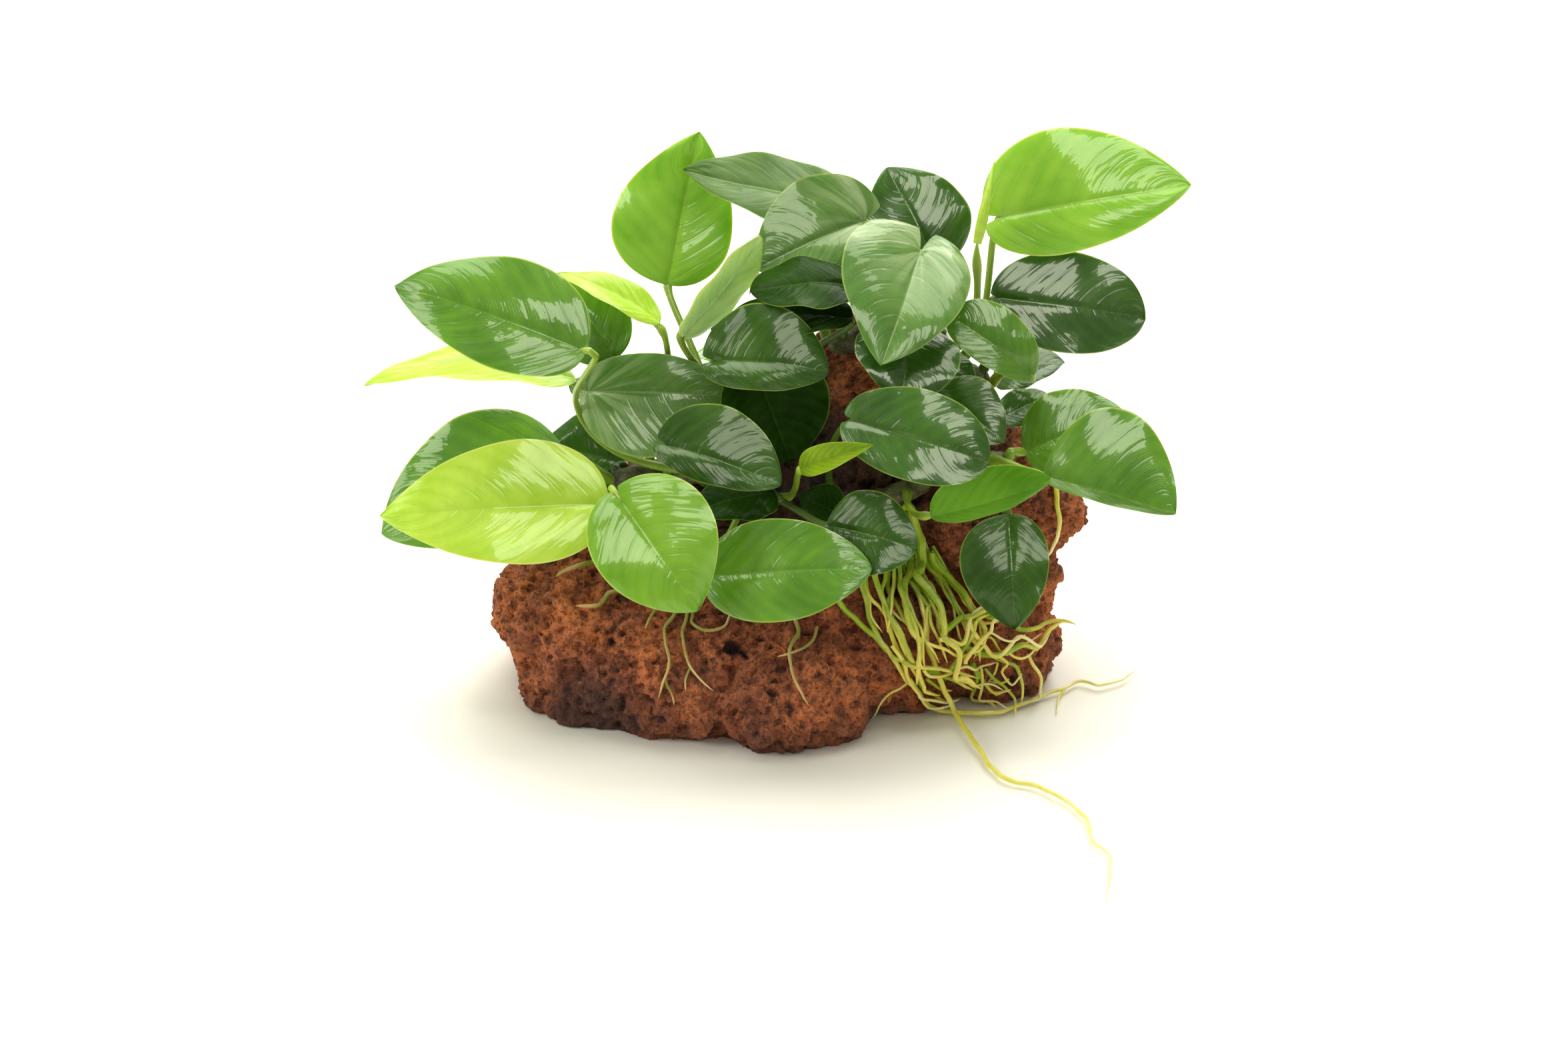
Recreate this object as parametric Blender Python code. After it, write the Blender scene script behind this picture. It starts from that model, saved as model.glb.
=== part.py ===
"""Anubias on stone: small anubias plants grown fast to a red lava stone.

A Blender script, in metres with +Z up. Sizes are written in millimetres and scaled by MM at the end.
The origin is the middle of the flat that the stone rests on, and +Y points away from the viewer.
"""

import math
from collections import namedtuple

import bmesh
import bpy
from mathutils import Matrix, Vector, noise
from mathutils.bvhtree import BVHTree

MM = 0.001

# Places are set out as they are seen from in front: across and up from the middle of the sight,
# in millimetres at the plane through the sight's middle, and then how far back they are.
SIGHT_ELEVATION = math.radians(28.0)
SIGHT_DISTANCE = 900.0
SIGHT_MIDDLE = Vector((0.0, 17.0, 31.0))
ACROSS = Vector((1.0, 0.0, 0.0))
UPRIGHT = Vector((0.0, math.sin(SIGHT_ELEVATION), math.cos(SIGHT_ELEVATION)))
TOWARD = Vector((0.0, -math.cos(SIGHT_ELEVATION), math.sin(SIGHT_ELEVATION)))
EYE = SIGHT_MIDDLE + TOWARD * SIGHT_DISTANCE

# The upper side of a blade is the one that lies up, and a little right, of its midrib
UPPER_SIDE = UPRIGHT + ACROSS * 0.5

# Gap that keeps neighbouring pieces apart, and the sizes that every leaf shares
GAP = 0.35
ROOT_GAP = 0.6
FOOT_GAP = 0.55
RHIZOME_SPACING = 4.5
LEAF_THICKNESS = 0.9
RIB_THICKNESS = 1.4
THIN_TOWARDS_TIP = 0.6
PETIOLE_RADIUS = 0.8
PETIOLE_FOOT_RADIUS = 1.1
MARGIN_DROOP = 0.10

# A stalk leaves its rhizome towards its blade and away from the stone, runs straight at first,
# and bends in a short knee where it meets the blade
AWAY_FROM_STONE = 0.7
STRAIGHT_SHARE = 0.35
KNEE_SHARE = 0.3
KNEE_LENGTH = 4.0

# Rhizomes and roots are tubes that grow thinner to their tips
RHIZOME_SIDES = 8
RHIZOME_TAPER = 0.3
ROOT_SIDES = 5
ROOT_TAPER = 0.5
TUBE_START_SIDE = UPRIGHT + ACROSS * 0.3

# The blade's outline: half width grows as the distance from the base to the first power,
# and shrinks as the distance from the tip to the second
BASE_POWER = 0.5
LOBE_SPREAD = 0.4

# Rings of the leaf solid: shares of the petiole, then shares of the blade
PETIOLE_RINGS = (0.0, 0.3, 0.65)
BLADE_RINGS = (0.03, 0.1, 0.24, 0.42, 0.62, 0.8, 0.93)
RING_ANGLES = [math.radians(angle) for angle in (210, 150, 90, 30, -30, -90)]
RING_ACROSS = (-1.0, -0.5, 0.0, 0.5, 1.0, 0.0)
RING_FACE = (0, 1, 1, 1, 0, -1)

# The stone's lumps, each a middle and three radii
STONE_LUMPS = (
    ((-41.0, 1.0, 16.0), (23.5, 22.0, 16.0)),
    ((-42.0, -2.5, 5.0), (18.5, 20.5, 14.0)),
    ((-34.0, 17.5, 20.0), (26.0, 18.5, 25.5)),
    ((-22.0, -2.0, 9.0), (34.0, 26.5, 22.0)),
    ((-18.0, 12.0, 24.0), (26.0, 20.0, 21.0)),
    ((1.0, -6.0, 7.0), (21.0, 29.5, 18.0)),
    ((6.0, 6.0, 20.0), (24.0, 22.0, 22.0)),
    ((-5.0, 20.0, 36.0), (23.0, 17.0, 21.0)),
    ((23.0, 22.0, 44.0), (18.0, 17.0, 33.0)),
    ((20.0, 22.0, 63.0), (14.0, 14.0, 18.0)),
    ((26.0, 2.0, 11.0), (20.0, 22.0, 20.0)),
    ((46.0, 4.0, 8.0), (15.5, 16.0, 16.0)),
    ((42.0, 14.0, 34.0), (18.0, 19.0, 28.0)),
    ((48.0, 10.0, 20.0), (13.5, 17.0, 18.0)),
    ((57.0, 14.0, 37.0), (9.5, 12.0, 9.0)),
)
STONE_VOXEL = 2.0
STONE_FACES = 2400
STONE_BUMPS = ((0.05, 3.2), (0.12, 2.2), (0.27, 1.3))

# The stone's main hollows, each a middle on its skin, a radius and a depth
STONE_HOLLOWS = (
    ((-11.7, -24.0, 15.0), 4.2, 2.6),
    ((-4.0, -28.0, 18.0), 3.6, 2.0),
    ((-38.0, -20.0, 17.0), 4.0, 2.2),
    ((-31.0, -24.0, 8.0), 5.5, 2.4),
    ((-52.0, -12.0, 22.0), 4.5, 2.2),
    ((-60.0, 2.0, 14.0), 4.5, 2.2),
    ((14.0, -28.0, 10.0), 4.6, 2.0),
    ((-22.0, -26.0, 20.0), 4.5, 1.8),
    ((8.0, 36.0, 52.0), 5.5, 2.6),
    ((-24.0, 34.0, 34.0), 5.5, 2.6),
    ((-46.0, 30.0, 22.0), 5.0, 2.4),
    ((34.0, 38.0, 40.0), 5.5, 2.8),
    ((24.0, 38.0, 20.0), 5.5, 2.6),
    ((-4.0, 36.0, 18.0), 5.0, 2.4),
    ((56.0, 26.0, 20.0), 4.8, 2.4),
    ((62.0, 12.0, 14.0), 4.2, 2.0),
    ((56.0, -8.0, 12.0), 4.4, 2.0),
    ((10.0, 14.0, 68.0), 4.6, 2.2),
    ((12.0, 3.0, 44.0), 4.6, 2.2),
)

# A rhizome creeps over the stone, near these places (across, up, back)
Rhizome = namedtuple("Rhizome", "name radius places")
RHIZOMES = (
    Rhizome("rhizome_left", 2.5, (
        (-38.0, 6.0, 10), (-30.0, 8.5, 12), (-21.0, 9.8, 14), (-12.0, 8.4, 8), (-3.0, 5.5, 4))),
    Rhizome("rhizome_middle", 2.5, (
        (-22.0, 17.0, 22), (-14.0, 20.0, 20), (-6.0, 21.0, 20), (2.0, 23.5, 22))),
    Rhizome("rhizome_right", 2.6, (
        (11.0, 4.0, 3), (21.0, 5.5, 2), (31.0, 8.5, 1), (41.0, 11.5, -1), (50.0, 13.5, 1))),
    Rhizome("rhizome_top", 2.6, (
        (13.0, 39.0, 16), (21.0, 41.5, 18), (30.0, 41.0, 20), (38.0, 37.0, 20), (46.0, 31.0, 18))),
    Rhizome("rhizome_back", 2.6, (
        (-8.0, 20.0, 42), (4.0, 26.0, 44), (18.0, 32.0, 44), (32.0, 32.0, 44))),
)

# A leaf: the base and the tip of its blade (across, up, back), the width of the blade, how far that
# width leans to the upper side, the turn about the midrib (0 faces the viewer, + faces up), the arch
# of the midrib, the fold along it in degrees, the sweep of the lobes at the base, how pointed the
# tip is, then the rhizome it grows from with the share of the rhizome's length, and the tone
Leaf = namedtuple("Leaf", "name base tip width lean turn arch fold lobe point rhizome share tone")
LEAVES = (
    Leaf("leaf_01", (-26, 54, 34), (-19, 88, 46), 27.4, -0.12, 8, -1, 6, 0.6, 0.9, "middle", 0.4, "fresh"),
    Leaf("leaf_02", (14.5, 71.4, 42), (-22.8, 79.2, 37.5), 24, 0, 52, 0, 8, 2, 0.85, "top", 0, "dark"),
    Leaf("leaf_03", (18, 67.8, 31), (-6.5, 56.9, 20), 22, 0.25, 10, 3, 10, 5, 0.75, "top", 0.18, "dark"),
    Leaf("leaf_04", (33.6, 57.6, 38), (23.1, 79.9, 48), 25, 0, 18, 2, 12, 1, 0.75, "top", 0.38, "dark"),
    Leaf("leaf_05", (30.6, 60.8, 14), (21.9, 35.4, -12), 29, -0.13, 5, 3, 8, 6, 0.9, "top", 0.5, "dark"),
    Leaf("leaf_06", (17.1, 52.4, 9), (-7.6, 51.3, 4), 20, 0, 55, 2, 8, 1, 0.5, "top", 0.09, "dark"),
    Leaf("leaf_07", (14.5, 46, 3), (-16.5, 43.5, 8), 19, 0, 58, 2, 8, 1, 0.75, "middle", 0.84, "dark"),
    Leaf("leaf_08", (-15.4, 36.3, -4), (10, 34, -8), 20, 0.35, 12, 3, 8, 3, 0.65, "middle", 0.68, "dark"),
    Leaf("leaf_09", (-22, 42.5, 12.4), (-5.4, 64.6, 18), 17, 0, -60, 1, 8, 1, 0.7, "middle", 0.56, "dark"),
    Leaf("leaf_10", (-46.5, 39.3, -16), (-87.6, 53.1, -3), 26, 0.14, 12, 3, 6, 2, 0.85, "left", 0.61, "mid"),
    Leaf("leaf_11", (-38.4, 37.7, 18), (-51.9, 56, 26), 18, 0, 10, 2, 8, 1, 0.7, "middle", 0, "dark"),
    Leaf("leaf_12", (-27.9, 44.9, 14), (-50.9, 56, 20), 10.5, 0, 48, 2, 14, 0, 0.85, "middle", 0.26, "young"),
    Leaf("leaf_13", (-46.8, 32.1, 16), (-94.4, 30.8, 14), 18, 0, 62, 5, 8, 0, 0.85, "left", 0.38, "young"),
    Leaf("leaf_14", (-49.7, 14.1, -2), (-90.5, -2.6, -6), 30, 0.18, 18, 3, 6, 1, 0.75, "left", 0.07, "mid"),
    Leaf("leaf_15", (-42.6, 4.1, -22), (-91, 1.4, -22), 28, 0.07, 10, 3, 6, 3, 0.9, "left", 0, "young"),
    Leaf("leaf_16", (-37.5, 4.6, -32), (-19.5, -20, -41), 28.5, 0.08, 5, 2, 6, 6, 0.8, "left", 0.46, "fresh"),
    Leaf("leaf_17", (-44, 29.6, 12.5), (-10, 28.4, 10.2), 23.5, -0.25, 6, 2, 6, 2, 0.7, "left", 0.24, "dark"),
    Leaf("leaf_18", (-26, 17.3, -17), (-0.6, 8.5, -22), 18, 0.36, 12, 2, 8, 3, 0.7, "left", 0.68, "dark"),
    Leaf("leaf_19", (-6.5, 35, 4.2), (1.5, 13.8, 1), 24.5, 0.12, 0, 1, 8, 2, 0.7, "middle", 1, "dark"),
    Leaf("leaf_20", (3.6, 12.2, -20), (20.3, 17.5, -27), 6.5, 0, 10, 2, 30, 0, 0.9, "left", 1, "young"),
    Leaf("leaf_22", (16.2, 22.6, -18), (46, 13.5, -26), 21, 0.08, 8, 2, 8, 3, 0.5, "right", 0.02, "dark"),
    Leaf("leaf_23", (27.9, 42.6, 4), (26.4, 27.9, -12), 24, 0, 8, 2, 8, 3, 0.6, "top", 0.6, "dark"),
    Leaf("leaf_24", (55.3, 33.5, 2), (37.2, 46.6, 6), 13.8, 0.23, 12, 2, 14, 1, 0.4, "top", 1, "fresh"),
    Leaf("leaf_25", (48.4, 50.5, 20), (81.3, 46, 22), 22.8, 0.08, 8, 2, 6, 2, 0.55, "top", 0.93, "dark"),
    Leaf("leaf_26", (49.1, 68.8, 28), (91.7, 75.9, 28), 27.6, 0.24, 8, 2, 6, 4, 0.85, "top", 0.82, "fresh"),
    Leaf("leaf_27", (43.5, 62.9, 20), (47.4, 81.6, 26), 2.6, 0, 0, 1, 0, 0, 0.75, "top", 0.74, "young"),
    Leaf("leaf_28", (47, 32.5, 30), (63.2, 35.9, 28), 14, 0, 48, 1, 8, 0, 0.75, "back", 1, "dark"),
    Leaf("leaf_29", (47.9, 23.2, 6), (60.6, 28.1, 8), 10, 0, 35, 1, 8, 0, 0.75, "right", 0.8, "dark"),
    Leaf("leaf_30", (55, 16.2, -1), (77.1, 24.3, 1), 20.5, 0, 12, 2, 8, 1, 0.7, "right", 1, "mid"),
    Leaf("leaf_31", (59.1, 10.3, -18), (88.1, 1.9, -22), 21.8, 0.78, 8, 1, 6, 1, 0.68, "right", 0.88, "mid"),
    Leaf("leaf_32", (33, 1.3, -24), (60, 9.8, -20), 12, 0.45, -20, 2, 8, 0, 0.7, "right", 0.4, "fresh"),
    Leaf("leaf_33", (50.7, 0.9, -17), (52, -24, -28), 20, -0.16, 0, 2, 8, 1, 0.8, "right", 0.72, "dark"),
    Leaf("leaf_34", (-16.2, -12, -29), (19.8, -10.4, -36), 23.5, 0.03, 8, 2, 6, 2, 0.7, "left", 0.82, "mid"),
    Leaf("leaf_35", (10.4, -0.9, -24), (30, -6, -32), 20, 0, 10, 2, 8, 1, 0.65, "left", 0.9, "dark"),
    Leaf("leaf_36", (-1.6, 5.9, -12.5), (-20.4, 2.1, -18), 16, 0, 45, 2, 8, 0, 0.75, "left", 0.77, "dark"),
    Leaf("leaf_37", (12.9, 1.4, -11.5), (3.6, 5.9, -11.5), 11, 0, 15, 1, 8, 0, 0.75, "right", 0.14, "dark"),
    Leaf("leaf_38", (-36, 13.2, 14), (-54.5, 17.2, 20), 20, 0, 15, 2, 8, 0, 0.75, "left", 0.1, "dark"),
    Leaf("leaf_40", (34.5, 29.5, -2), (49.5, 18, -10), 15, 0.1, 15, 1, 14, 0, 0.75, "right", 0.65, "dark"),
    Leaf("leaf_41", (32.9, 35.9, 4), (43.4, 31.2, 2), 10, 0, 25, 1, 8, 0, 0.75, "right", 0.53, "dark"),
    Leaf("leaf_42", (-32, 28, 30), (-48.4, 31, 36), 15, 0, 50, 1, 8, 0, 0.75, "middle", 0.13, "dark"),
    Leaf("leaf_43", (0, 34, 52), (-20, 38, 62), 23, 0, 60, 4, 8, 2, 0.75, "back", 0.2, "mid"),
    Leaf("leaf_44", (30, 38, 54), (42, 34, 74), 22, 0, 55, 4, 8, 2, 0.75, "back", 0.7, "dark"),
    Leaf("leaf_45", (12, 30, 58), (6, 24, 80), 21, 0, 60, 4, 8, 2, 0.75, "back", 0.45, "fresh"),
)

# A root: its radius, how far it rides above the stone, and spots seen across and up along it,
# some with how much higher it rides there
Root = namedtuple("Root", "name radius lift spots")
ROOTS = (
    Root("root_trailing", 0.85, 0.1, (
        (31.0, -9.0), (31.4, -20.0), (31.5, -27.0), (33.2, -34.4, 1.0), (38.4, -42.2, 2.4),
        (42.6, -49.2, 1.0), (49.2, -58.1), (55.1, -59.3), (62.7, -62.9), (67.5, -66.5), (69.9, -72.9),
        (73.2, -75.3), (72.6, -86.0))),
    Root("root_floor_right", 0.75, 0.1, (
        (24.0, -21.0), (26.6, -32.6), (30.2, -38.0), (35.0, -42.8), (42.0, -43.4), (48.6, -43.1),
        (55.7, -40.4), (62.7, -38.0), (66.3, -36.2), (71.1, -37.1), (75.3, -36.2), (79.1, -33.8))),
    Root("root_bundle_1", 0.8, 0.2, (
        (26.0, -3.5), (22.5, -10.0), (19.5, -17.0), (20.0, -24.0), (21.5, -30.0))),
    Root("root_bundle_2", 0.8, 1.9, (
        (29.0, -3.5), (27.0, -12.0), (25.5, -20.0), (25.0, -28.0), (28.0, -35.0))),
    Root("root_bundle_3", 0.8, 1.9, (
        (33.0, -4.0), (35.0, -12.0), (37.5, -20.0), (41.0, -28.0), (45.0, -33.0))),
    Root("root_bundle_4", 0.75, 0.35, (
        (36.5, -5.0), (39.5, -12.0), (43.5, -20.0), (47.0, -27.5), (55.0, -27.0), (61.0, -24.0))),
    Root("root_side", 0.7, 0.2, ((61.0, 5.0), (61.3, 0.0), (60.0, -4.5), (58.4, -8.0))),
    Root("root_front_1", 0.6, 0.1, (
        (-24.0, -15.0), (-24.0, -19.8), (-26.8, -24.6), (-26.1, -31.2), (-27.1, -35.0), (-28.3, -39.3))),
    Root("root_front_2", 0.6, 0.1, ((-21.5, -15.0), (-22.6, -27.0), (-19.8, -33.9), (-16.4, -37.8))),
    Root("root_front_3", 0.65, 0.1, ((1.0, -18.0), (2.7, -25.2), (1.5, -29.9), (3.3, -36.2), (5.0, -41.3))),
)
ROOT_SPACING = 3.5

# Colour, roughness and shading of each kind of piece
Look = namedtuple("Look", "colour roughness smooth")
LOOKS = {
    "dark": Look((0.045, 0.155, 0.035), 0.25, True),
    "mid": Look((0.10, 0.32, 0.05), 0.28, True),
    "fresh": Look((0.20, 0.46, 0.05), 0.30, True),
    "young": Look((0.50, 0.68, 0.05), 0.32, True),
    "rhizome": Look((0.14, 0.22, 0.05), 0.50, True),
    "root": Look((0.50, 0.52, 0.14), 0.50, True),
    "stone": Look((0.22, 0.075, 0.04), 0.95, False),
}


def sighted(across, up, back):
    """The point seen at across and up that lies this far back."""
    on_plane = SIGHT_MIDDLE + ACROSS * across + UPRIGHT * up
    share = (back - EYE.y) / (on_plane.y - EYE.y)
    return EYE + (on_plane - EYE) * share


def on_floor(across, up, height):
    """The point seen at across and up that lies at a height above the floor."""
    on_plane = SIGHT_MIDDLE + ACROSS * across + UPRIGHT * up
    share = (height - EYE.z) / (on_plane.z - EYE.z)
    return EYE + (on_plane - EYE) * share


def on_stone(stone_tree, across, up, stand_off):
    """The point seen at across and up on the stone, or past it on the floor, stood off from it."""
    on_plane = SIGHT_MIDDLE + ACROSS * across + UPRIGHT * up
    place, normal, _, _ = stone_tree.ray_cast(EYE, (on_plane - EYE).normalized())
    if place is None:
        return on_floor(across, up, stand_off)
    return place + normal * stand_off


def seated(point, stone_tree, stand_off):
    """The point moved onto the nearest face of the stone, stood off from it."""
    place, normal, _, _ = stone_tree.find_nearest(point)
    return place + normal * stand_off


def bezier(points, share):
    """The point at a share along the Bezier curve of four points."""
    rest = 1.0 - share
    weights = (rest**3, 3 * rest * rest * share, 3 * rest * share * share, share**3)
    return sum((point * weight for point, weight in zip(points, weights)), Vector())


def bezier_heading(points, share):
    """The direction at a share along the Bezier curve of four points."""
    first, second, third = (after - before for before, after in zip(points, points[1:]))
    rest = 1.0 - share
    return (first * rest**2 + second * (2 * rest * share) + third * share**2).normalized()


def smooth_route(points, spacing):
    """Points along the smooth curve through the given ones, about a spacing apart."""
    ends = [points[0] * 2 - points[1], *points, points[-1] * 2 - points[-2]]
    found = []
    for before, start, end, after in zip(ends, ends[1:], ends[2:], ends[3:]):
        handles = (start, start + (end - before) / 6, end - (after - start) / 6, end)
        steps = max(1, round((end - start).length / spacing))
        found += [bezier(handles, step / steps) for step in range(steps)]
    return found + [points[-1]]


def kept_clear(route, stone_tree, stand_off):
    """The route with each point that is too close to the stone or the floor moved clear of it."""
    clear = []
    for point in route:
        place, normal, _, distance = stone_tree.find_nearest(point)
        if (point - place).dot(normal) < 0.0 or distance < stand_off:
            point = place + normal * stand_off
        clear.append(Vector((point.x, point.y, max(point.z, stand_off))))
    return clear


def headings(route):
    """The direction of a route at each of its points."""
    ahead = [*route[1:], route[-1]]
    behind = [route[0], *route[:-1]]
    return [(after - before).normalized() for after, before in zip(ahead, behind)]


def carried_frames(tangents, start_side):
    """A side and a normal for each of a row of directions, carried from one to the next without twist."""
    frames = []
    side = start_side
    last = tangents[0]
    for tangent in tangents:
        side = last.rotation_difference(tangent) @ side
        side = (side - tangent * side.dot(tangent)).normalized()
        frames.append((side, tangent.cross(side).normalized()))
        last = tangent
    return frames


def extrude_ring(bm, ring, places):
    """Extrudes a closed ring of vertices and puts the new ring at the places."""
    edges = [bm.edges.get((ring[k - 1], ring[k])) for k in range(len(ring))]
    made = bmesh.ops.extrude_edge_only(bm, edges=edges)["geom"]
    fresh = {part for part in made if isinstance(part, bmesh.types.BMVert)}
    new_ring = []
    for vert, place in zip(ring, places):
        above = next(edge.other_vert(vert) for edge in vert.link_edges if edge.other_vert(vert) in fresh)
        above.co = place
        new_ring.append(above)
    return new_ring


def lofted(rings, tip):
    """A closed solid through rings of points that ends in a tip point."""
    bm = bmesh.new()
    ring = bmesh.ops.create_circle(bm, cap_ends=True, segments=len(rings[0]), radius=1.0)["verts"]
    for vert, place in zip(ring, rings[0]):
        vert.co = place
    for places in rings[1:]:
        ring = extrude_ring(bm, ring, places)
    end_ring = extrude_ring(bm, ring, [tip] * len(ring))
    bmesh.ops.pointmerge(bm, verts=end_ring, merge_co=tip)
    bmesh.ops.triangulate(bm, faces=bm.faces)
    bmesh.ops.recalc_face_normals(bm, faces=bm.faces)
    if bm.calc_volume(signed=True) < 0.0:
        bmesh.ops.reverse_faces(bm, faces=bm.faces)
    return bm


def tube(route, radii, sides):
    """A closed tube along a route, with a radius at each point but the last, where it ends in a tip."""
    turns = [2 * math.pi * side / sides for side in range(sides)]
    rings = []
    for place, frame, radius in zip(route[:-1], carried_frames(headings(route), TUBE_START_SIDE), radii):
        first, second = frame
        rings.append([place + (first * math.cos(a) + second * math.sin(a)) * radius for a in turns])
    return lofted(rings, route[-1])


def tapered(count, radius, loss):
    """Radii that shrink by a share of the first one towards the end."""
    return [radius * (1.0 - loss * (k / (count - 1)) ** 2) for k in range(count)]


def linked(name, bm):
    """A named object in the scene with this mesh."""
    mesh = bpy.data.meshes.new(name)
    bm.to_mesh(mesh)
    bm.free()
    made = bpy.data.objects.new(name, mesh)
    bpy.context.scene.collection.objects.link(made)
    return made


def put(name, bm, look):
    """Makes a named object of a mesh in millimetres, at its real size, with a material of its own."""
    bmesh.ops.scale(bm, vec=Vector((MM, MM, MM)), verts=bm.verts)
    made = linked(name, bm)
    if look.smooth:
        made.data.shade_smooth()
    own = bpy.data.materials.new(name)
    own.use_nodes = True
    shader = own.node_tree.nodes["Principled BSDF"]
    shader.inputs["Base Color"].default_value = (*look.colour, 1.0)
    shader.inputs["Roughness"].default_value = look.roughness
    shader.inputs["Metallic"].default_value = 0.0
    made.data.materials.append(own)


def modified(bm, kind, **settings):
    """The mesh after one modifier."""
    source = linked("source", bm)
    modifier = source.modifiers.new("change", kind)
    for key, value in settings.items():
        setattr(modifier, key, value)
    changed = bmesh.new()
    graph = bpy.context.evaluated_depsgraph_get()
    changed.from_mesh(source.evaluated_get(graph).to_mesh())
    mesh = source.data
    bpy.data.objects.remove(source)
    bpy.data.meshes.remove(mesh)
    return changed


def hollow_depth(place, middle, radius, depth):
    """How far a hollow of the stone sinks at a place."""
    nearness = max(0.0, 1.0 - ((place - Vector(middle)).length / radius) ** 2)
    return depth * nearness


def stone_solid():
    """The lava stone: lumps joined in one body, roughened, thinned out and cut flat below."""
    bm = bmesh.new()
    for middle, radii in STONE_LUMPS:
        place = Matrix.Translation(middle) @ Matrix.Diagonal((*radii, 1.0))
        bmesh.ops.create_icosphere(bm, subdivisions=4, radius=1.0, matrix=place)
    bm = modified(bm, "REMESH", mode="VOXEL", voxel_size=STONE_VOXEL)
    bm.normal_update()
    for vert in bm.verts:
        rise = sum(noise.noise(vert.co * pitch) * height for pitch, height in STONE_BUMPS)
        rise -= sum(hollow_depth(vert.co, *hollow) for hollow in STONE_HOLLOWS)
        vert.co += vert.normal * rise
    bmesh.ops.triangulate(bm, faces=bm.faces)
    bm = modified(bm, "DECIMATE", ratio=STONE_FACES / len(bm.faces))
    body = [*bm.verts, *bm.edges, *bm.faces]
    cut = bmesh.ops.bisect_plane(bm, geom=body, plane_co=(0, 0, 0), plane_no=(0, 0, 1), clear_inner=True)
    rim = [part for part in cut["geom_cut"] if isinstance(part, bmesh.types.BMEdge)]
    bmesh.ops.holes_fill(bm, edges=rim)
    bmesh.ops.triangulate(bm, faces=bm.faces)
    bmesh.ops.recalc_face_normals(bm, faces=bm.faces)
    return bm


def blade_frame(leaf):
    """The base, the tip, the upper side and the face normal of a leaf's blade."""
    base = sighted(*leaf.base)
    tip = sighted(*leaf.tip)
    along = (tip - base).normalized()
    to_eye = EYE - (base + tip) / 2
    facing = (to_eye - along * to_eye.dot(along)).normalized()
    side = along.cross(facing)
    if side.dot(UPPER_SIDE) < 0:
        side = -side
    turn = math.radians(leaf.turn)
    face = facing * math.cos(turn) + side * math.sin(turn)
    return base, tip, side * math.cos(turn) - facing * math.sin(turn), face


def half_width(share, point):
    """The blade's half width at a share of its length, as a share of the greatest."""
    widest = BASE_POWER / (BASE_POWER + point)
    return (share / widest) ** BASE_POWER * ((1.0 - share) / (1.0 - widest)) ** point


def blade_point(leaf, frame, share, across):
    """A point on the middle sheet of the blade, at a share of its length and of its half width."""
    base, tip, side, face = frame
    nearness = (EYE - (base + tip) / 2).length / SIGHT_DISTANCE
    lean = leaf.lean if across > 0 else -leaf.lean
    half = leaf.width / 2 * nearness * (1.0 + lean) * half_width(share, leaf.point)
    out = abs(across)
    place = base.lerp(tip, share) + side * (across * half)
    place += face * (leaf.arch * 4 * share * (1 - share))
    place += face * (math.tan(math.radians(leaf.fold)) * out * half - MARGIN_DROOP * out * out * half)
    place -= (tip - base).normalized() * (leaf.lobe * out * (2 - out) * (1 - share) ** 3)
    place += side * (leaf.lobe * LOBE_SPREAD * math.copysign(out, across) * (1 - share) ** 4)
    return place


def petiole_handles(leaf, frame, rhizome, stone_tree):
    """Bezier points of the stalk, from the rhizome's skin to the base of the blade."""
    route, radius = rhizome
    base = frame[0]
    spot = leaf.share * (len(route) - 1)
    k = min(int(spot), len(route) - 2)
    core = route[k].lerp(route[k + 1], spot - k)
    run = (route[k + 1] - route[k]).normalized()
    below, away, _, _ = stone_tree.find_nearest(core)
    out = (base - core).normalized() + away * AWAY_FROM_STONE
    out = (out - run * out.dot(run)).normalized()
    foot = core + out * (radius + FOOT_GAP)
    reach = (base - foot).length
    ahead = (blade_point(leaf, frame, BLADE_RINGS[1], 0.0) - base).normalized()
    knee = min(reach * KNEE_SHARE, KNEE_LENGTH)
    return foot, foot + out * reach * STRAIGHT_SHARE, base - ahead * knee, base


def leaf_solid(leaf, rhizome, stone_tree):
    """One leaf: its stalk and its blade as one closed solid."""
    frame = blade_frame(leaf)
    base, tip, side, face = frame
    handles = petiole_handles(leaf, frame, rhizome, stone_tree)
    shares = [*PETIOLE_RINGS, 1.0]
    towards_foot = [bezier_heading(handles, share) for share in reversed(shares)]
    frames = carried_frames(towards_foot, side)[::-1]
    rings = []
    for share, (first, second) in zip(shares, frames):
        place = bezier(handles, share)
        wide = PETIOLE_RADIUS + (PETIOLE_FOOT_RADIUS - PETIOLE_RADIUS) * (1.0 - share) ** 2
        up = second if frames[-1][1].dot(face) > 0 else -second
        rings.append([place + (first * math.cos(a) + up * math.sin(a)) * wide for a in RING_ANGLES])
    for share in BLADE_RINGS:
        thin = 1.0 - THIN_TOWARDS_TIP * share
        ring = []
        for across, level in zip(RING_ACROSS, RING_FACE):
            thick = RIB_THICKNESS if across == 0.0 else LEAF_THICKNESS
            ring.append(blade_point(leaf, frame, share, across) + face * (level * thick / 2 * thin))
        rings.append(ring)
    return lofted(rings, tip)


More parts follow.
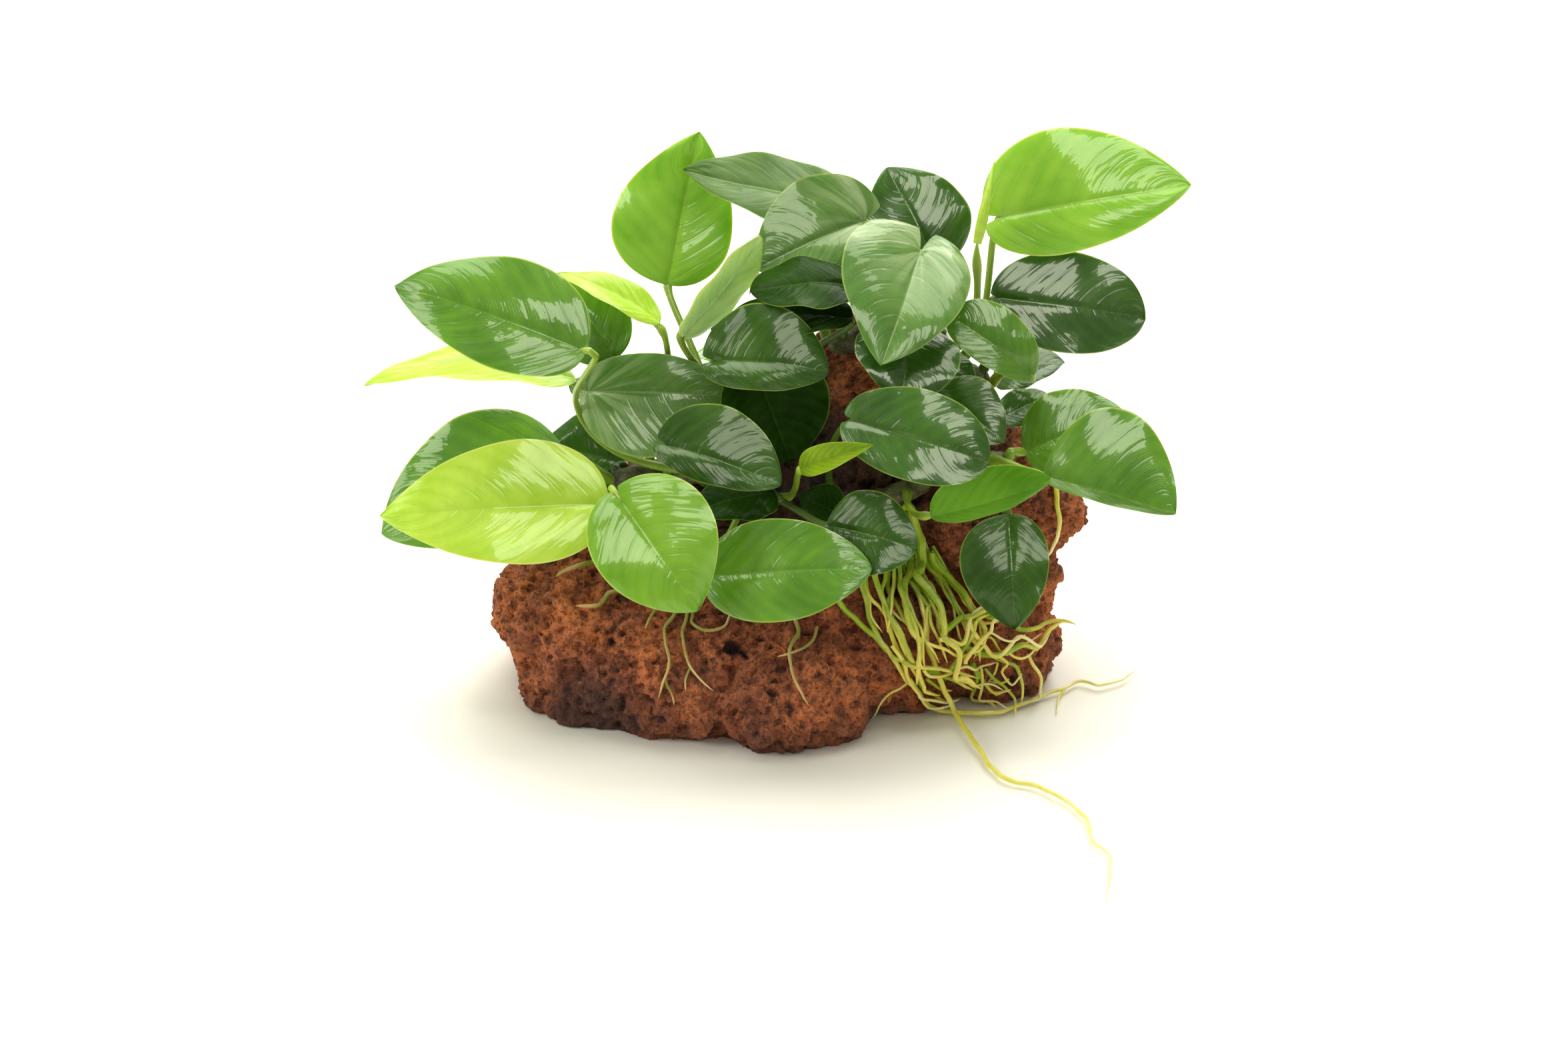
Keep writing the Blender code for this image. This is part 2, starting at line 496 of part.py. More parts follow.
def build():
    """The whole part, each piece once, under its own name."""
    for old in list(bpy.data.objects):
        bpy.data.objects.remove(old)
    stone = stone_solid()
    stone_tree = BVHTree.FromBMesh(stone)
    put("stone", stone, LOOKS["stone"])

    rhizomes = {}
    for rhizome in RHIZOMES:
        lift = rhizome.radius + GAP
        laid = [seated(sighted(*place), stone_tree, lift + GAP) for place in rhizome.places]
        route = kept_clear(smooth_route(laid, RHIZOME_SPACING), stone_tree, lift + GAP)
        rhizomes[rhizome.name.removeprefix("rhizome_")] = (route, rhizome.radius)
        radii = tapered(len(route), rhizome.radius, RHIZOME_TAPER)
        put(rhizome.name, tube(route, radii, RHIZOME_SIDES), LOOKS["rhizome"])

    for leaf in LEAVES:
        put(leaf.name, leaf_solid(leaf, rhizomes[leaf.rhizome], stone_tree), LOOKS[leaf.tone])

    for root in ROOTS:
        lift = root.radius + root.lift
        laid = [on_stone(stone_tree, spot[0], spot[1], lift + sum(spot[2:])) for spot in root.spots]
        route = kept_clear(smooth_route(laid, ROOT_SPACING), stone_tree, lift + ROOT_GAP)
        radii = tapered(len(route), root.radius, ROOT_TAPER)
        put(root.name, tube(route, radii, ROOT_SIDES), LOOKS["root"])


build()
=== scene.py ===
"""Anubias on stone, dressed: glossy leaves on their stalks, creeping rhizomes, a mat of roots and the
red lava stone that they hold on to.

Sizes are written in millimetres and scaled by MM at the end, and those of lamps, skins and the floor are
in metres. The origin is the middle of the flat that the stone rests on, and +Y points away from the viewer.
"""

import math
import random
from collections import namedtuple
from functools import reduce

import bmesh
import bpy
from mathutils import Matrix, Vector, noise
from mathutils.bvhtree import BVHTree


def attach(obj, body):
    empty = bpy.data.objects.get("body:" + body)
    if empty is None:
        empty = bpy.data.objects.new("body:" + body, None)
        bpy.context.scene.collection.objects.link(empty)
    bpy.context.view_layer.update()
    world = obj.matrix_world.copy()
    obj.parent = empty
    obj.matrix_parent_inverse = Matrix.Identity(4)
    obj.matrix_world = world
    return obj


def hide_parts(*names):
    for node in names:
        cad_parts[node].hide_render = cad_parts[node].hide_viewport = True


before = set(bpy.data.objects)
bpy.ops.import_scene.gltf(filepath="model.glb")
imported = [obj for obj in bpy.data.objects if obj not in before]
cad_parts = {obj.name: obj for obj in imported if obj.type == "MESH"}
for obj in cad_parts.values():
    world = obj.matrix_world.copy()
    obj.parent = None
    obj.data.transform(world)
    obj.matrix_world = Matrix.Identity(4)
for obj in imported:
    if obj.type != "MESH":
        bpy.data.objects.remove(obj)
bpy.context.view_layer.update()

MM = 0.001

# The drift of the roots and pores, and the strands that fill the mat, are drawn from these seeds
DRIFT_SEED = 11
MAT_SEED = 11
noise.seed_set(DRIFT_SEED)

# Places are set out as they are seen from in front: across and up from the middle of the sight, in
# millimetres at the plane through the sight's middle, and then how far back or how high they are.
# These two levels are the second and the third part of a place.
BACK = 1
HEIGHT = 2
SIGHT_ELEVATION = math.radians(28.0)
SIGHT_DISTANCE = 900.0
SIGHT_MIDDLE = Vector((0.0, 17.0, 31.0))
ACROSS = Vector((1.0, 0.0, 0.0))
UPRIGHT = Vector((0.0, math.sin(SIGHT_ELEVATION), math.cos(SIGHT_ELEVATION)))
TOWARD = Vector((0.0, -math.cos(SIGHT_ELEVATION), math.sin(SIGHT_ELEVATION)))
EYE = SIGHT_MIDDLE + TOWARD * SIGHT_DISTANCE

# The camera stands at the eye. Its picture is this wide at the sight's middle, and it sees nothing that
# is nearer than this many metres
PICTURE_WIDTH = 352.8
SENSOR_WIDTH = 36.0
NEAREST_SEEN = 0.01

# The upper side of a blade is the one that lies up, and a little right, of its midrib
UPPER_SIDE = UPRIGHT + ACROSS * 0.5

# Where the first side of a rhizome or a root points
FIRST_SIDE = UPRIGHT + ACROSS * 0.3

# Corners closer than these become one: in any piece, along a blade's margin and in the stone's solid
MERGED = 0.0004
MARGIN_MERGED = 0.002
SOLID_MERGED = 0.001
# In degrees: edges sharper than the first look sharp, and none is sharper than the second
SHARP_ANGLE = 50.0
NO_SHARP_ANGLE = 180.0

# How the solids that these pieces replace were set out, so that the pieces lie where they do
GAP = 0.35
ROOT_GAP = 0.6
FOOT_GAP = 0.55
RHIZOME_SPACING = 4.5
ROOT_SPACING = 3.5
PETIOLE_RADIUS = 0.8
MARGIN_DROOP = 0.10
AWAY_FROM_STONE = 0.7
STRAIGHT_SHARE = 0.35
KNEE_SHARE = 0.3
KNEE_LENGTH = 4.0
BASE_POWER = 0.5
LOBE_SPREAD = 0.4
FIRST_BLADE_RING = 0.1

# The blade's sheets: rows along it, closer near its ends, and columns across it, closer near the midrib
BLADE_ROWS = 60
BLADE_COLUMNS = 36
COLUMN_CROWDING = 1.35
BLADE_THICKNESS = 0.55
THIN_TOWARDS_TIP = 0.5
RIB_WIDTH = 0.75
RIB_DEPTH = 0.75
RIB_TAPER = 0.6
GROOVE_DEPTH = 0.28

# The veins that leave the midrib on each side and how they sweep to the tip, the swell between them, and
# the blade's bends, crinkles and ruffles, which start a little past its foot and are less on small blades
VEIN_PAIRS = 8.0
VEIN_SWEEP = 0.34
VEIN_CURVE = 1.3
QUILT_HEIGHT = 0.06
QUILT_FADE = 1.5
BEND_HEIGHT = 1.3
BEND_PITCH = 1.9
CRINKLE_HEIGHT = 0.10
CRINKLE_PITCH = 7.0
RUFFLE_HEIGHT = 0.40
RUFFLES = 2.6
RUFFLE_SHIFT = 2.0
RELIEF_START = 8
FULL_RELIEF_WIDTH = 20.0
CLOSING_LENGTH = 0.8
LEAF_SEED = 1.7

# The stalk's rings and sides, its sheath at the foot, its swelling below the blade and its keel under it
STALK_RINGS = 22
STALK_STEP = 2.5
STALK_SIDES = 10
STALK_START = 0.35
OVAL_MIDDLE = 0.92
OVAL_SWING = 0.08
SHEATH_WIDTH = 0.5
SHEATH_SHARE = 0.16
SWELLING_WIDTH = 0.28
SWELLING_LENGTH = 2.2
KEEL_LENGTH = 5.0
KEEL_DEPTH = 0.5
KEEL_RINGS = 4
KEEL_END = 0.25

# Material slots of a leaf: the upper skin, the under skin and the stalk
UPPER_SLOT = 0
UNDER_SLOT = 1
STALK_SLOT = 2

# The leaf that is still rolled up, which is narrower than this, and the seam where its outer turn ends
ROLLED_WIDTH = 4.0
SPEAR_RINGS = 30
SPEAR_SIDES = 14
SPEAR_FOOT = 0.35
SPEAR_BELLY = 0.25
SPEAR_BELLY_PLACE = 1.3
SPEAR_END = 1.02
SPEAR_TAPER = 0.6
SEAM_START = 2.2
SEAM_TWIST = 2.0
SEAM_WIDTH = 0.5
SEAM_DEPTH = 0.25

# Rhizomes are lumpy, carry a ring for each leaf that they have shed, and narrow at both ends: how wide
# each end is, and how fast it widens from there
RHIZOME_SIDES = 18
RHIZOME_STEP = 0.7
RHIZOME_TAPER = 0.3
RHIZOME_LUMPS = 0.35
LUMP_PITCH = 1.3
LUMP_STRETCH = 0.35
SCAR_SPACING = 3.2
SCAR_DEPTH = 0.22
SCAR_SHARPNESS = 6
RHIZOME_FOOT = (0.35, 12)
RHIZOME_TIP = (0.45, 14)

# Roots are round, a little uneven, wander, and run to fine points
ROOT_SIDES = 7
ROOT_STEP = 0.9
ROOT_TAPER = 0.5
ROOT_WANDER = 0.45
WANDER_PITCH = 0.23
WANDER_ROW = 0.5
ROOT_LUMPS = 0.14
ROOT_LUMP_PITCH = 0.45
ROOT_LUMP_TURN = 0.2
ROOT_TIP = (0.25, 10)
ROOT_SEED = 3.1

# The stone's fine mesh, and its pores: the size of their cells, how deep they go, how wide they open and
# the share of the cells that have one
STONE_VOXEL = 0.64
STONE_SMOOTHING = 0.5
Pores = namedtuple("Pores", "cell depth mouth share")
PORES = (
    Pores(6.0, 1.5, 0.36, 0.30),
    Pores(3.0, 1.1, 0.42, 0.50),
    Pores(1.9, 0.8, 0.46, 0.55),
)
PORE_WANDER = 0.45
PORE_WANDER_PITCH = 1.7
PORE_DRAW = 7.3
CELL_MIDDLE = Vector((0.5, 0.5, 0.5))
PORE_ROUNDNESS = 0.6
# The pore depth at which the painted shade in a pore is darkest
PORE_SHADE_FULL_DEPTH = 2.4

# Crags: how close and how high their ridges are, how far they stand out, and the flat underside below them
CRAGS = ((0.13, 1.3), (0.30, 1.4), (0.70, 0.8))
CRAG_MIDDLE = 0.45
HIGHEST_CRAG = 0.6
FLAT_HEIGHT = 0.05
FLAT_ZONE = 0.6

# Deep holes in the front of the stone, seen at these places: across, up, radius and depth
HOLES = (
    (-11.7, -28.1, 2.1, 3.4), (-5.4, -25.8, 1.2, 2.2), (-39.0, -27.0, 1.4, 2.2), (-31.5, -40.0, 1.9, 2.0),
)

# A rhizome: its radius and the places that it creeps past
RHIZOMES = {
    "left": (2.5, ((-38, 6, 10), (-30, 8.5, 12), (-21, 9.8, 14), (-12, 8.4, 8), (-3, 5.5, 4))),
    "middle": (2.5, ((-22, 17, 22), (-14, 20, 20), (-6, 21, 20), (2, 23.5, 22))),
    "right": (2.6, ((11, 4, 3), (21, 5.5, 2), (31, 8.5, 1), (41, 11.5, -1), (50, 13.5, 1))),
    "top": (2.6, ((13, 39, 16), (21, 41.5, 18), (30, 41, 20), (38, 37, 20), (46, 31, 18))),
    "back": (2.6, ((-8, 20, 42), (4, 26, 44), (18, 32, 44), (32, 32, 44))),
}

# A leaf: its number, the base and the tip of its blade (across, up, back), the width of the blade, how far
# that width leans to the upper side, the turn about the midrib (0 faces the viewer, + faces up), the arch
# of the midrib, the fold along it in degrees, the sweep of the lobes at the base, how pointed the
# tip is, then the rhizome it grows from with the share of the rhizome's length, and the finish
Leaf = namedtuple("Leaf", "number base tip width lean turn arch fold lobe point rhizome share look")
LEAVES = (
    (1, (-26, 54, 34), (-19, 88, 46), 27.4, -0.12, 8, -1, 6, 0.6, 0.9, "middle", 0.4, "spring"),
    (2, (14.5, 71.4, 42), (-22.8, 79.2, 37.5), 24, 0, 52, 0, 8, 2, 0.85, "top", 0, "satin"),
    (3, (18, 67.8, 31), (-6.5, 56.9, 20), 22, 0.25, 10, 3, 10, 5, 0.75, "top", 0.18, "silver"),
    (4, (33.6, 57.6, 38), (23.1, 79.9, 48), 25, 0, 18, 2, 12, 1, 0.75, "top", 0.38, "dark"),
    (5, (30.6, 60.8, 14), (21.9, 35.4, -12), 29, -0.13, 5, 3, 8, 6, 0.9, "top", 0.5, "silver"),
    (6, (17.1, 52.4, 9), (-7.6, 51.3, 4), 20, 0, 55, 2, 8, 1, 0.5, "top", 0.09, "night"),
    (7, (14.5, 46, 3), (-16.5, 43.5, 8), 19, 0, 58, 2, 8, 1, 0.75, "middle", 0.84, "night"),
    (8, (-15.4, 36.3, -4), (10, 34, -8), 20, 0.35, 12, 3, 8, 3, 0.65, "middle", 0.68, "deep"),
    (9, (-22, 42.5, 12.4), (-5.4, 64.6, 18), 17, 0, -60, 1, 8, 1, 0.7, "middle", 0.56, "pale"),
    (10, (-46.5, 39.3, -16), (-87.6, 53.1, -3), 26, 0.14, 12, 3, 6, 2, 0.85, "left", 0.61, "mid"),
    (11, (-38.4, 37.7, 18), (-51.9, 56, 26), 18, 0, 10, 2, 8, 1, 0.7, "middle", 0, "mid"),
    (12, (-27.9, 44.9, 14), (-50.9, 56, 20), 10.5, 0, 48, 2, 14, 0, 0.85, "middle", 0.26, "young"),
    (13, (-46.8, 32.1, 16), (-94.4, 30.8, 14), 18, 0, 62, 5, 8, 0, 0.85, "left", 0.38, "young"),
    (14, (-49.7, 14.1, -2), (-90.5, -2.6, -6), 30, 0.18, 18, 3, 6, 1, 0.75, "left", 0.07, "mid"),
    (15, (-42.6, 4.1, -22), (-91, 1.4, -22), 28, 0.07, 10, 3, 6, 3, 0.9, "left", 0, "young"),
    (16, (-36.3, 4.4, -32), (-19.5, -20, -41), 28.5, 0.08, 5, 2, 6, 3.6, 0.8, "left", 0.46, "fresh"),
    (17, (-44, 29.6, 12.5), (-10, 28.4, 10.2), 23.5, -0.25, 6, 2, 6, 2, 0.7, "left", 0.24, "silver"),
    (18, (-26, 17.3, -17), (-0.6, 8.5, -22), 18, 0.36, 12, 2, 8, 3, 0.7, "left", 0.68, "deep"),
    (19, (-6.5, 35, 4.2), (1.5, 13.8, 1), 24.5, 0.12, 0, 1, 8, 2, 0.7, "middle", 1, "night"),
    (20, (3.6, 12.2, -20), (20.3, 17.5, -27), 6.5, 0, 10, 2, 30, 0, 0.9, "left", 1, "lime"),
    (22, (16.2, 22.6, -18), (46, 13.5, -26), 21, 0.08, 8, 2, 8, 3, 0.5, "right", 0.02, "dark"),
    (23, (27.9, 42.6, 4), (26.4, 27.9, -12), 24, 0, 8, 2, 8, 3, 0.6, "top", 0.6, "dark"),
    (24, (55.3, 33.5, 2), (37.2, 46.6, 6), 13.8, 0.23, 12, 2, 14, 1, 0.4, "top", 1, "mid"),
    (25, (48.4, 50.5, 20), (81.3, 46, 22), 22.8, 0.08, 8, 2, 6, 2, 0.55, "top", 0.93, "dark"),
    (26, (49.1, 68.8, 28), (91.7, 75.9, 28), 27.6, 0.24, 8, 2, 6, 4, 0.85, "top", 0.82, "spring"),
    (27, (43.5, 62.9, 20), (47.4, 81.6, 26), 2.6, 0, 0, 1, 0, 0, 0.75, "top", 0.74, "young"),
    (28, (47, 32.5, 30), (63.2, 35.9, 28), 14, 0, 48, 1, 8, 0, 0.75, "back", 1, "dark"),
    (29, (47.9, 23.2, 6), (60.6, 28.1, 8), 10, 0, 35, 1, 8, 0, 0.75, "right", 0.8, "dark"),
    (30, (55, 16.2, -1), (77.1, 24.3, 1), 20.5, 0, 12, 2, 8, 1, 0.7, "right", 1, "mid"),
    (31, (59.1, 10.3, -18), (88.1, 1.9, -22), 21.8, 0.78, 8, 1, 6, 1, 0.68, "right", 0.88, "mid"),
    (32, (33, 1.3, -24), (60, 9.8, -20), 12, 0.45, -20, 2, 8, 0, 0.7, "right", 0.4, "moss"),
    (33, (50.7, 0.9, -17), (52, -24, -28), 20, -0.16, 0, 2, 8, 1, 0.8, "right", 0.72, "deep"),
    (34, (-16.2, -12, -29), (19.8, -10.4, -36), 23.5, 0.03, 8, 2, 6, 2, 0.7, "left", 0.82, "mid"),
    (35, (10.4, -0.9, -24), (30, -6, -32), 20, 0, 10, 2, 8, 1, 0.65, "left", 0.9, "deep"),
    (36, (-1.6, 5.9, -12.5), (-20.4, 2.1, -18), 16, 0, 45, 2, 8, 0, 0.75, "left", 0.77, "night"),
    (37, (12.9, 1.4, -11.5), (3.6, 5.9, -11.5), 11, 0, 15, 1, 8, 0, 0.75, "right", 0.14, "night"),
    (38, (-36, 13.2, 14), (-54.5, 17.2, 20), 20, 0, 15, 2, 8, 0, 0.75, "left", 0.1, "dark"),
    (40, (34.5, 29.5, -2), (49.5, 18, -10), 15, 0.1, 15, 1, 14, 0, 0.75, "right", 0.65, "dark"),
    (41, (32.9, 35.9, 4), (43.4, 31.2, 2), 10, 0, 25, 1, 8, 0, 0.75, "right", 0.53, "dark"),
    (42, (-32, 28, 30), (-48.4, 31, 36), 15, 0, 50, 1, 8, 0, 0.75, "middle", 0.13, "dark"),
    (43, (0, 34, 52), (-20, 38, 62), 23, 0, 60, 4, 8, 2, 0.75, "back", 0.2, "mid"),
    (44, (30, 38, 54), (42, 34, 74), 22, 0, 55, 4, 8, 2, 0.75, "back", 0.7, "dark"),
    (45, (12, 30, 58), (6, 24, 80), 21, 0, 60, 4, 8, 2, 0.75, "back", 0.45, "fresh"),
)

# The places that the stalks of these leaves go by, behind other blades
STALK_WAYS = {
    10: ((-25, 12.2, 7), (-33.3, 14, 8.5), (-39.8, 17.2, 10.5), (-44.6, 22, 11.5), (-46.9, 29, 6)),
    16: ((-26, 3, 2), (-32.5, 0, -18)),
}

# A root: its radius, how far it rides above the stone, and spots seen across and up along it,
# some with how much higher it rides there, and those past the stone's side with how far back they are
Root = namedtuple("Root", "radius lift spots")
ROOTS = {
    "root_trailing": (0.62, 0.1, (
        (31, -9), (31.4, -20), (31.5, -27), (33.2, -34.4, 1), (38.4, -42.2, 2.4), (42.6, -49.2, 1),
        (49.2, -58.1), (55.1, -59.3), (62.7, -62.9), (67.5, -66.5), (69.9, -72.9), (73.2, -75.3),
        (72.6, -86))),
    "root_floor_right": (0.58, 0.1, (
        (24, -21), (26.6, -32.6), (30.2, -38), (35, -42.8), (42, -43.4), (48.6, -43.1), (55.7, -40.4),
        (62.7, -38), (66.3, -36.2), (71.1, -37.1), (75.3, -36.2), (79.1, -33.8))),
    "root_side": (0.6, 0.2, ((60, 11), (61, 5), (61.3, 0), (60, -4.5), (58.4, -8))),
    "root_front_1": (0.44, 0.1, (
        (-24, -15), (-24, -19.8), (-26.8, -24.6), (-26.1, -31.2), (-27.1, -35), (-28.3, -39.3))),
    "root_front_2": (0.42, 0.1, ((-21.5, -15), (-22.6, -27), (-19.8, -33.9), (-16.4, -37.8))),
    "root_front_3": (0.48, 0.1, ((1, -18), (2.7, -25.2), (1.5, -29.9), (3.3, -36.2), (5, -41.3))),
}

# The mat of roots under the right rhizome: strands that stand for the bundles of the solid model
BUNDLES = 4
MAT_STRANDS = (
    (0.62, 0.4, (
        (10, -15), (12.9, -19.2), (24.9, -29.6, 1), (28.8, -30.5, 2.6), (35.7, -30.5, 3.4),
        (42.6, -33.5, 3))),
    (0.7, 0.6, (
        (16, -9), (17.1, -15.3), (20.6, -23.1), (23.6, -27.8, 1), (25.4, -32.1), (26.6, -35.1),
        (30, -36.9))),
    (0.7, 1.6, (
        (19, -4), (20.6, -11.1), (22.8, -19.7), (26.1, -25.7), (29.6, -30.9), (32.3, -35.1), (33.9, -37.7))),
    (0.68, 0.8, ((26, -3), (25.4, -9.3), (23.1, -17.1), (24.5, -23.1), (27.5, -29.1), (30.5, -34.2))),
    (0.85, 2.2, ((25, -2), (26.6, -9.3), (27.9, -15.3), (27.9, -23.1), (29.6, -28.2), (30.9, -33.9))),
    (0.72, 0.7, ((29, -1), (29.6, -7.7), (29.1, -15.3), (30.5, -23.1), (30, -29.1))),
    (0.95, 3.6, (
        (31, 3), (31.4, -0.8), (32.3, -9.3), (31.4, -17.1), (32.3, -24), (34.8, -27.5), (39.2, -32.1),
        (40.8, -34.2))),
    (0.68, 1.2, ((31, -3), (32.7, -9.3), (34.8, -15.3), (38.3, -20.6), (39.9, -22.2))),
    (0.78, 2, ((33, -4), (33.9, -9.3), (37.8, -14.4), (40.8, -19.7), (42.2, -24.8), (43.8, -29.1))),
    (0.62, 0.6, ((33.5, -11), (36, -17), (41, -22.5), (48, -22.8))),
    (0.7, 3.2, ((33.9, -25.2), (40.8, -23.1), (45.9, -20.6), (49, -18))),
    (0.58, 2.8, ((35, -31), (37.8, -28.2), (41.7, -24), (45.6, -21.3))),
    (0.66, 1, (
        (43, -21), (45.2, -21.3), (52.1, -24), (57.6, -22.7), (62, -22.1, 0, -5), (65.4, -22.9, 0, -7))),
    (0.74, 1.4, (
        (39, -26), (43.4, -27.8), (46.8, -28.7), (52.1, -28.2), (56.3, -27.5), (61, -23.4, 0, -6),
        (63.6, -22, 0, -5))),
    (0.48, 0.5, ((40.8, -31.5), (43.4, -33.9), (42.6, -36.9), (42.6, -40.4), (46.1, -41.1), (47.7, -42.5))),
    (0.5, 0.6, ((41, -31), (44.7, -34.4), (47.3, -37.4), (51.2, -36.9))),
    (0.5, 0.8, ((46, -28.6), (50.3, -30.9), (52.5, -32.1), (53.3, -36), (53.3, -41.1))),
    (0.42, 0.5, ((45, -33), (49.5, -36), (51.6, -38.6), (52.1, -43.8))),
    (0.52, 0.9, ((32, -32.6), (34.8, -33.5), (38.3, -34.4), (42.2, -36.5))),
    (0.42, 0.5, ((30.5, -34), (33, -38), (36.5, -39.8), (39.5, -40))),
    (0.4, 0.5, ((32, -34.5), (34, -36.5), (37.5, -36.8))),
)

# Pale roots that cross over the lower right of the mat
CROSSING = (
    (0.55, 3.4, ((33, -28), (37.5, -26.5), (41, -23.5), (44.5, -20.5), (48.5, -18.2))),
    (0.5, 3.8, ((35, -31.5), (39, -30), (43, -25.8), (46.5, -22.8), (50.5, -20.5))),
    (0.52, 2.8, ((40.5, -22), (43.8, -26.2), (47, -28.6), (50.6, -26.4), (55.8, -26.6), (60, -24.4, 0, -6))),
    (0.4, 2.4, ((31, -31.6), (34.5, -32.6), (39, -31.8), (43.5, -32.2), (47.5, -30))),
    (0.36, 1.6, ((47.5, -28.8), (50, -30.8), (49, -34), (51.5, -35.2), (53.6, -33.4))),
    (0.34, 1.2, ((44, -32), (44.6, -36.2), (44.4, -39.6), (48, -41), (51, -42.6))),
    (0.4, 1, ((53, -29.6), (55.2, -33.2), (56.4, -37.4), (55.6, -41))),
    (0.32, 1.8, ((49, -27.6), (52, -29.8), (55, -28.4), (58.2, -27))),
    (0.45, 2.2, ((24.5, -29), (27, -33), (31, -36.6), (34, -39), (38.5, -40.6))),
    (0.36, 2, ((28.5, -33), (31.5, -37.6), (34.5, -40.6), (37, -39.2))),
    (0.38, 3, ((30, -26), (35, -29.5), (40, -29), (46.5, -26.6), (52, -26))),
    (0.34, 1.4, ((38, -33.4), (42, -35.4), (46.5, -34.8), (49.4, -36.6))),
)

# More strands fill the mat: each runs between these two routes, at a seeded share of the way across
MAT_FILL = 22
MAT_LEFT_EDGE = ((17.5, -6.0), (18.5, -16.0), (22.0, -24.0), (26.0, -31.0))
MAT_RIGHT_EDGE = ((34.5, -4.0), (38.0, -13.0), (43.0, -21.0), (46.0, -29.0))
MAT_FILL_RADIUS = (0.36, 0.60)
MAT_FILL_LIFT = (0.3, 3.0)
MAT_FILL_SPOTS = (3, 4, 4)
MAT_WOBBLE = 1.3

# Rootlets: fine pale threads at the ends of the mat, and dark green ones that creep over the front
PALE_ROOTLETS = (
    (0.3, 0.3, ((28, -35), (25.7, -36.8), (21.3, -40.4), (19.2, -44.6))),
    (0.28, 0.3, ((48, -31), (47, -34), (45.5, -36))),
    (0.26, 0.4, ((50.5, -34.5), (49, -35.5), (46, -35))),
    (0.26, 0.5, ((46.5, -37), (48, -38.2), (49.5, -37.2), (51, -37.6))),
    (0.3, 0.2, ((63, -37.6), (61.8, -40.5), (61.2, -43))),
    (0.26, 0.3, ((34.5, -36), (35.5, -38.5), (38, -40.3))),
    (0.28, 1, ((43.8, -27), (47, -26.2), (49, -29), (52, -28), (57, -25))),
)
CREEPING_ROOTLETS = (
    (0.62, 0.2, ((-43.2, -9.8), (-47.2, -11), (-50.7, -13.2))),
    (0.6, 0.2, ((-36.4, -16), (-39.3, -17), (-41.8, -19.5), (-46.6, -19.8))),
    (0.34, 0.2, ((-29.2, -20.1), (-30.2, -22.4), (-31.2, -24.2))),
    (0.4, 0.2, ((-20.8, -19.5), (-20, -23.6), (-17.4, -24.6), (-13.4, -24.2), (-11.1, -18.9))),
    (0.36, 0.2, ((7.3, -24.2), (5.2, -28.1), (2.1, -29.6), (-1, -30.5))),
    (0.3, 0.2, ((-27, -34.6), (-24.6, -40.6))),
    (0.3, 0.2, ((-20.4, -33), (-22.5, -35.8), (-22.2, -38))),
)

# Finishes of the blades, grouped under slot names: four colours as they are seen on screen, how rough the
# skin is, how strong its gloss, how much light goes through, and how clearly pale rays fan out from the
# blade's foot
Look = namedtuple("Look", "deep light vein rim roughness gloss through rays")
LOOKS = {
    "leaf_dark": {
        # Blades deep inside the plant: dark green leaves with painted shade, darker than the leaf itself
        "night": ((20, 46, 6), (40, 74, 14), (70, 96, 40), (112, 136, 50), 0.08, 0.05, 0.03, 0.05),
        "deep": ((34, 68, 12), (60, 100, 22), (96, 130, 56), (134, 160, 58), 0.02, 0.55, 0.05, 0.14),
        "dark": ((36, 76, 12), (66, 112, 24), (96, 130, 56), (134, 160, 58), 0.02, 0.9, 0.05, 0.14),
        # Silver blades: grey green, partly paler by a painted sheen, and their strong pale rays are fan-like
        # veins together with a painted highlight at the foot
        "silver": ((73, 118, 40), (107, 145, 70), (184, 202, 154), (146, 172, 82), 0.03, 0.7, 0.08, 0.55),
        "satin": ((62, 98, 32), (92, 124, 54), (162, 182, 134), (146, 172, 82), 0.14, 0.15, 0.08, 0.5),
        # The pale blade: light green, made paler by a painted sheen
        "pale": ((198, 218, 148), (224, 238, 182), (214, 228, 176), (176, 198, 112), 0.05, 0.7, 0.55, 0.4),
    },
    "leaf_mid": {
        "mid": ((72, 122, 24), (104, 154, 38), (132, 172, 66), (162, 190, 70), 0.02, 0.8, 0.1, 0.14),
        "moss": ((74, 130, 14), (100, 156, 26), (132, 172, 66), (162, 190, 70), 0.12, 0.2, 0.12, 0.12),
    },
    "leaf_fresh": {
        "fresh": ((108, 162, 32), (136, 184, 52), (156, 198, 78), (184, 210, 84), 0.04, 0.7, 0.18, 0.12),
        "spring": ((122, 176, 40), (154, 200, 60), (170, 210, 86), (194, 218, 92), 0.04, 0.7, 0.22, 0.14),
    },
    "leaf_young": {
        "lime": ((86, 122, 8), (140, 170, 20), (150, 184, 40), (196, 214, 70), 0.12, 0.25, 0.2, 0.14),
        "young": ((166, 206, 44), (202, 232, 92), (176, 208, 66), (216, 240, 120), 0.05, 0.6, 0.3, 0.2),
    },
}

# How much of the light a blade of full gloss mirrors, and how much its clear coat does
SPECULAR_LEVEL = 0.58
COAT_WEIGHT = 0.25

# The under side of a blade is paler, duller and rougher
UNDER_COLOUR = (150, 175, 110)
UNDER_PALE = 0.35
UNDER_GLOSS = 0.4
UNDER_ROUGHNESS = 0.15

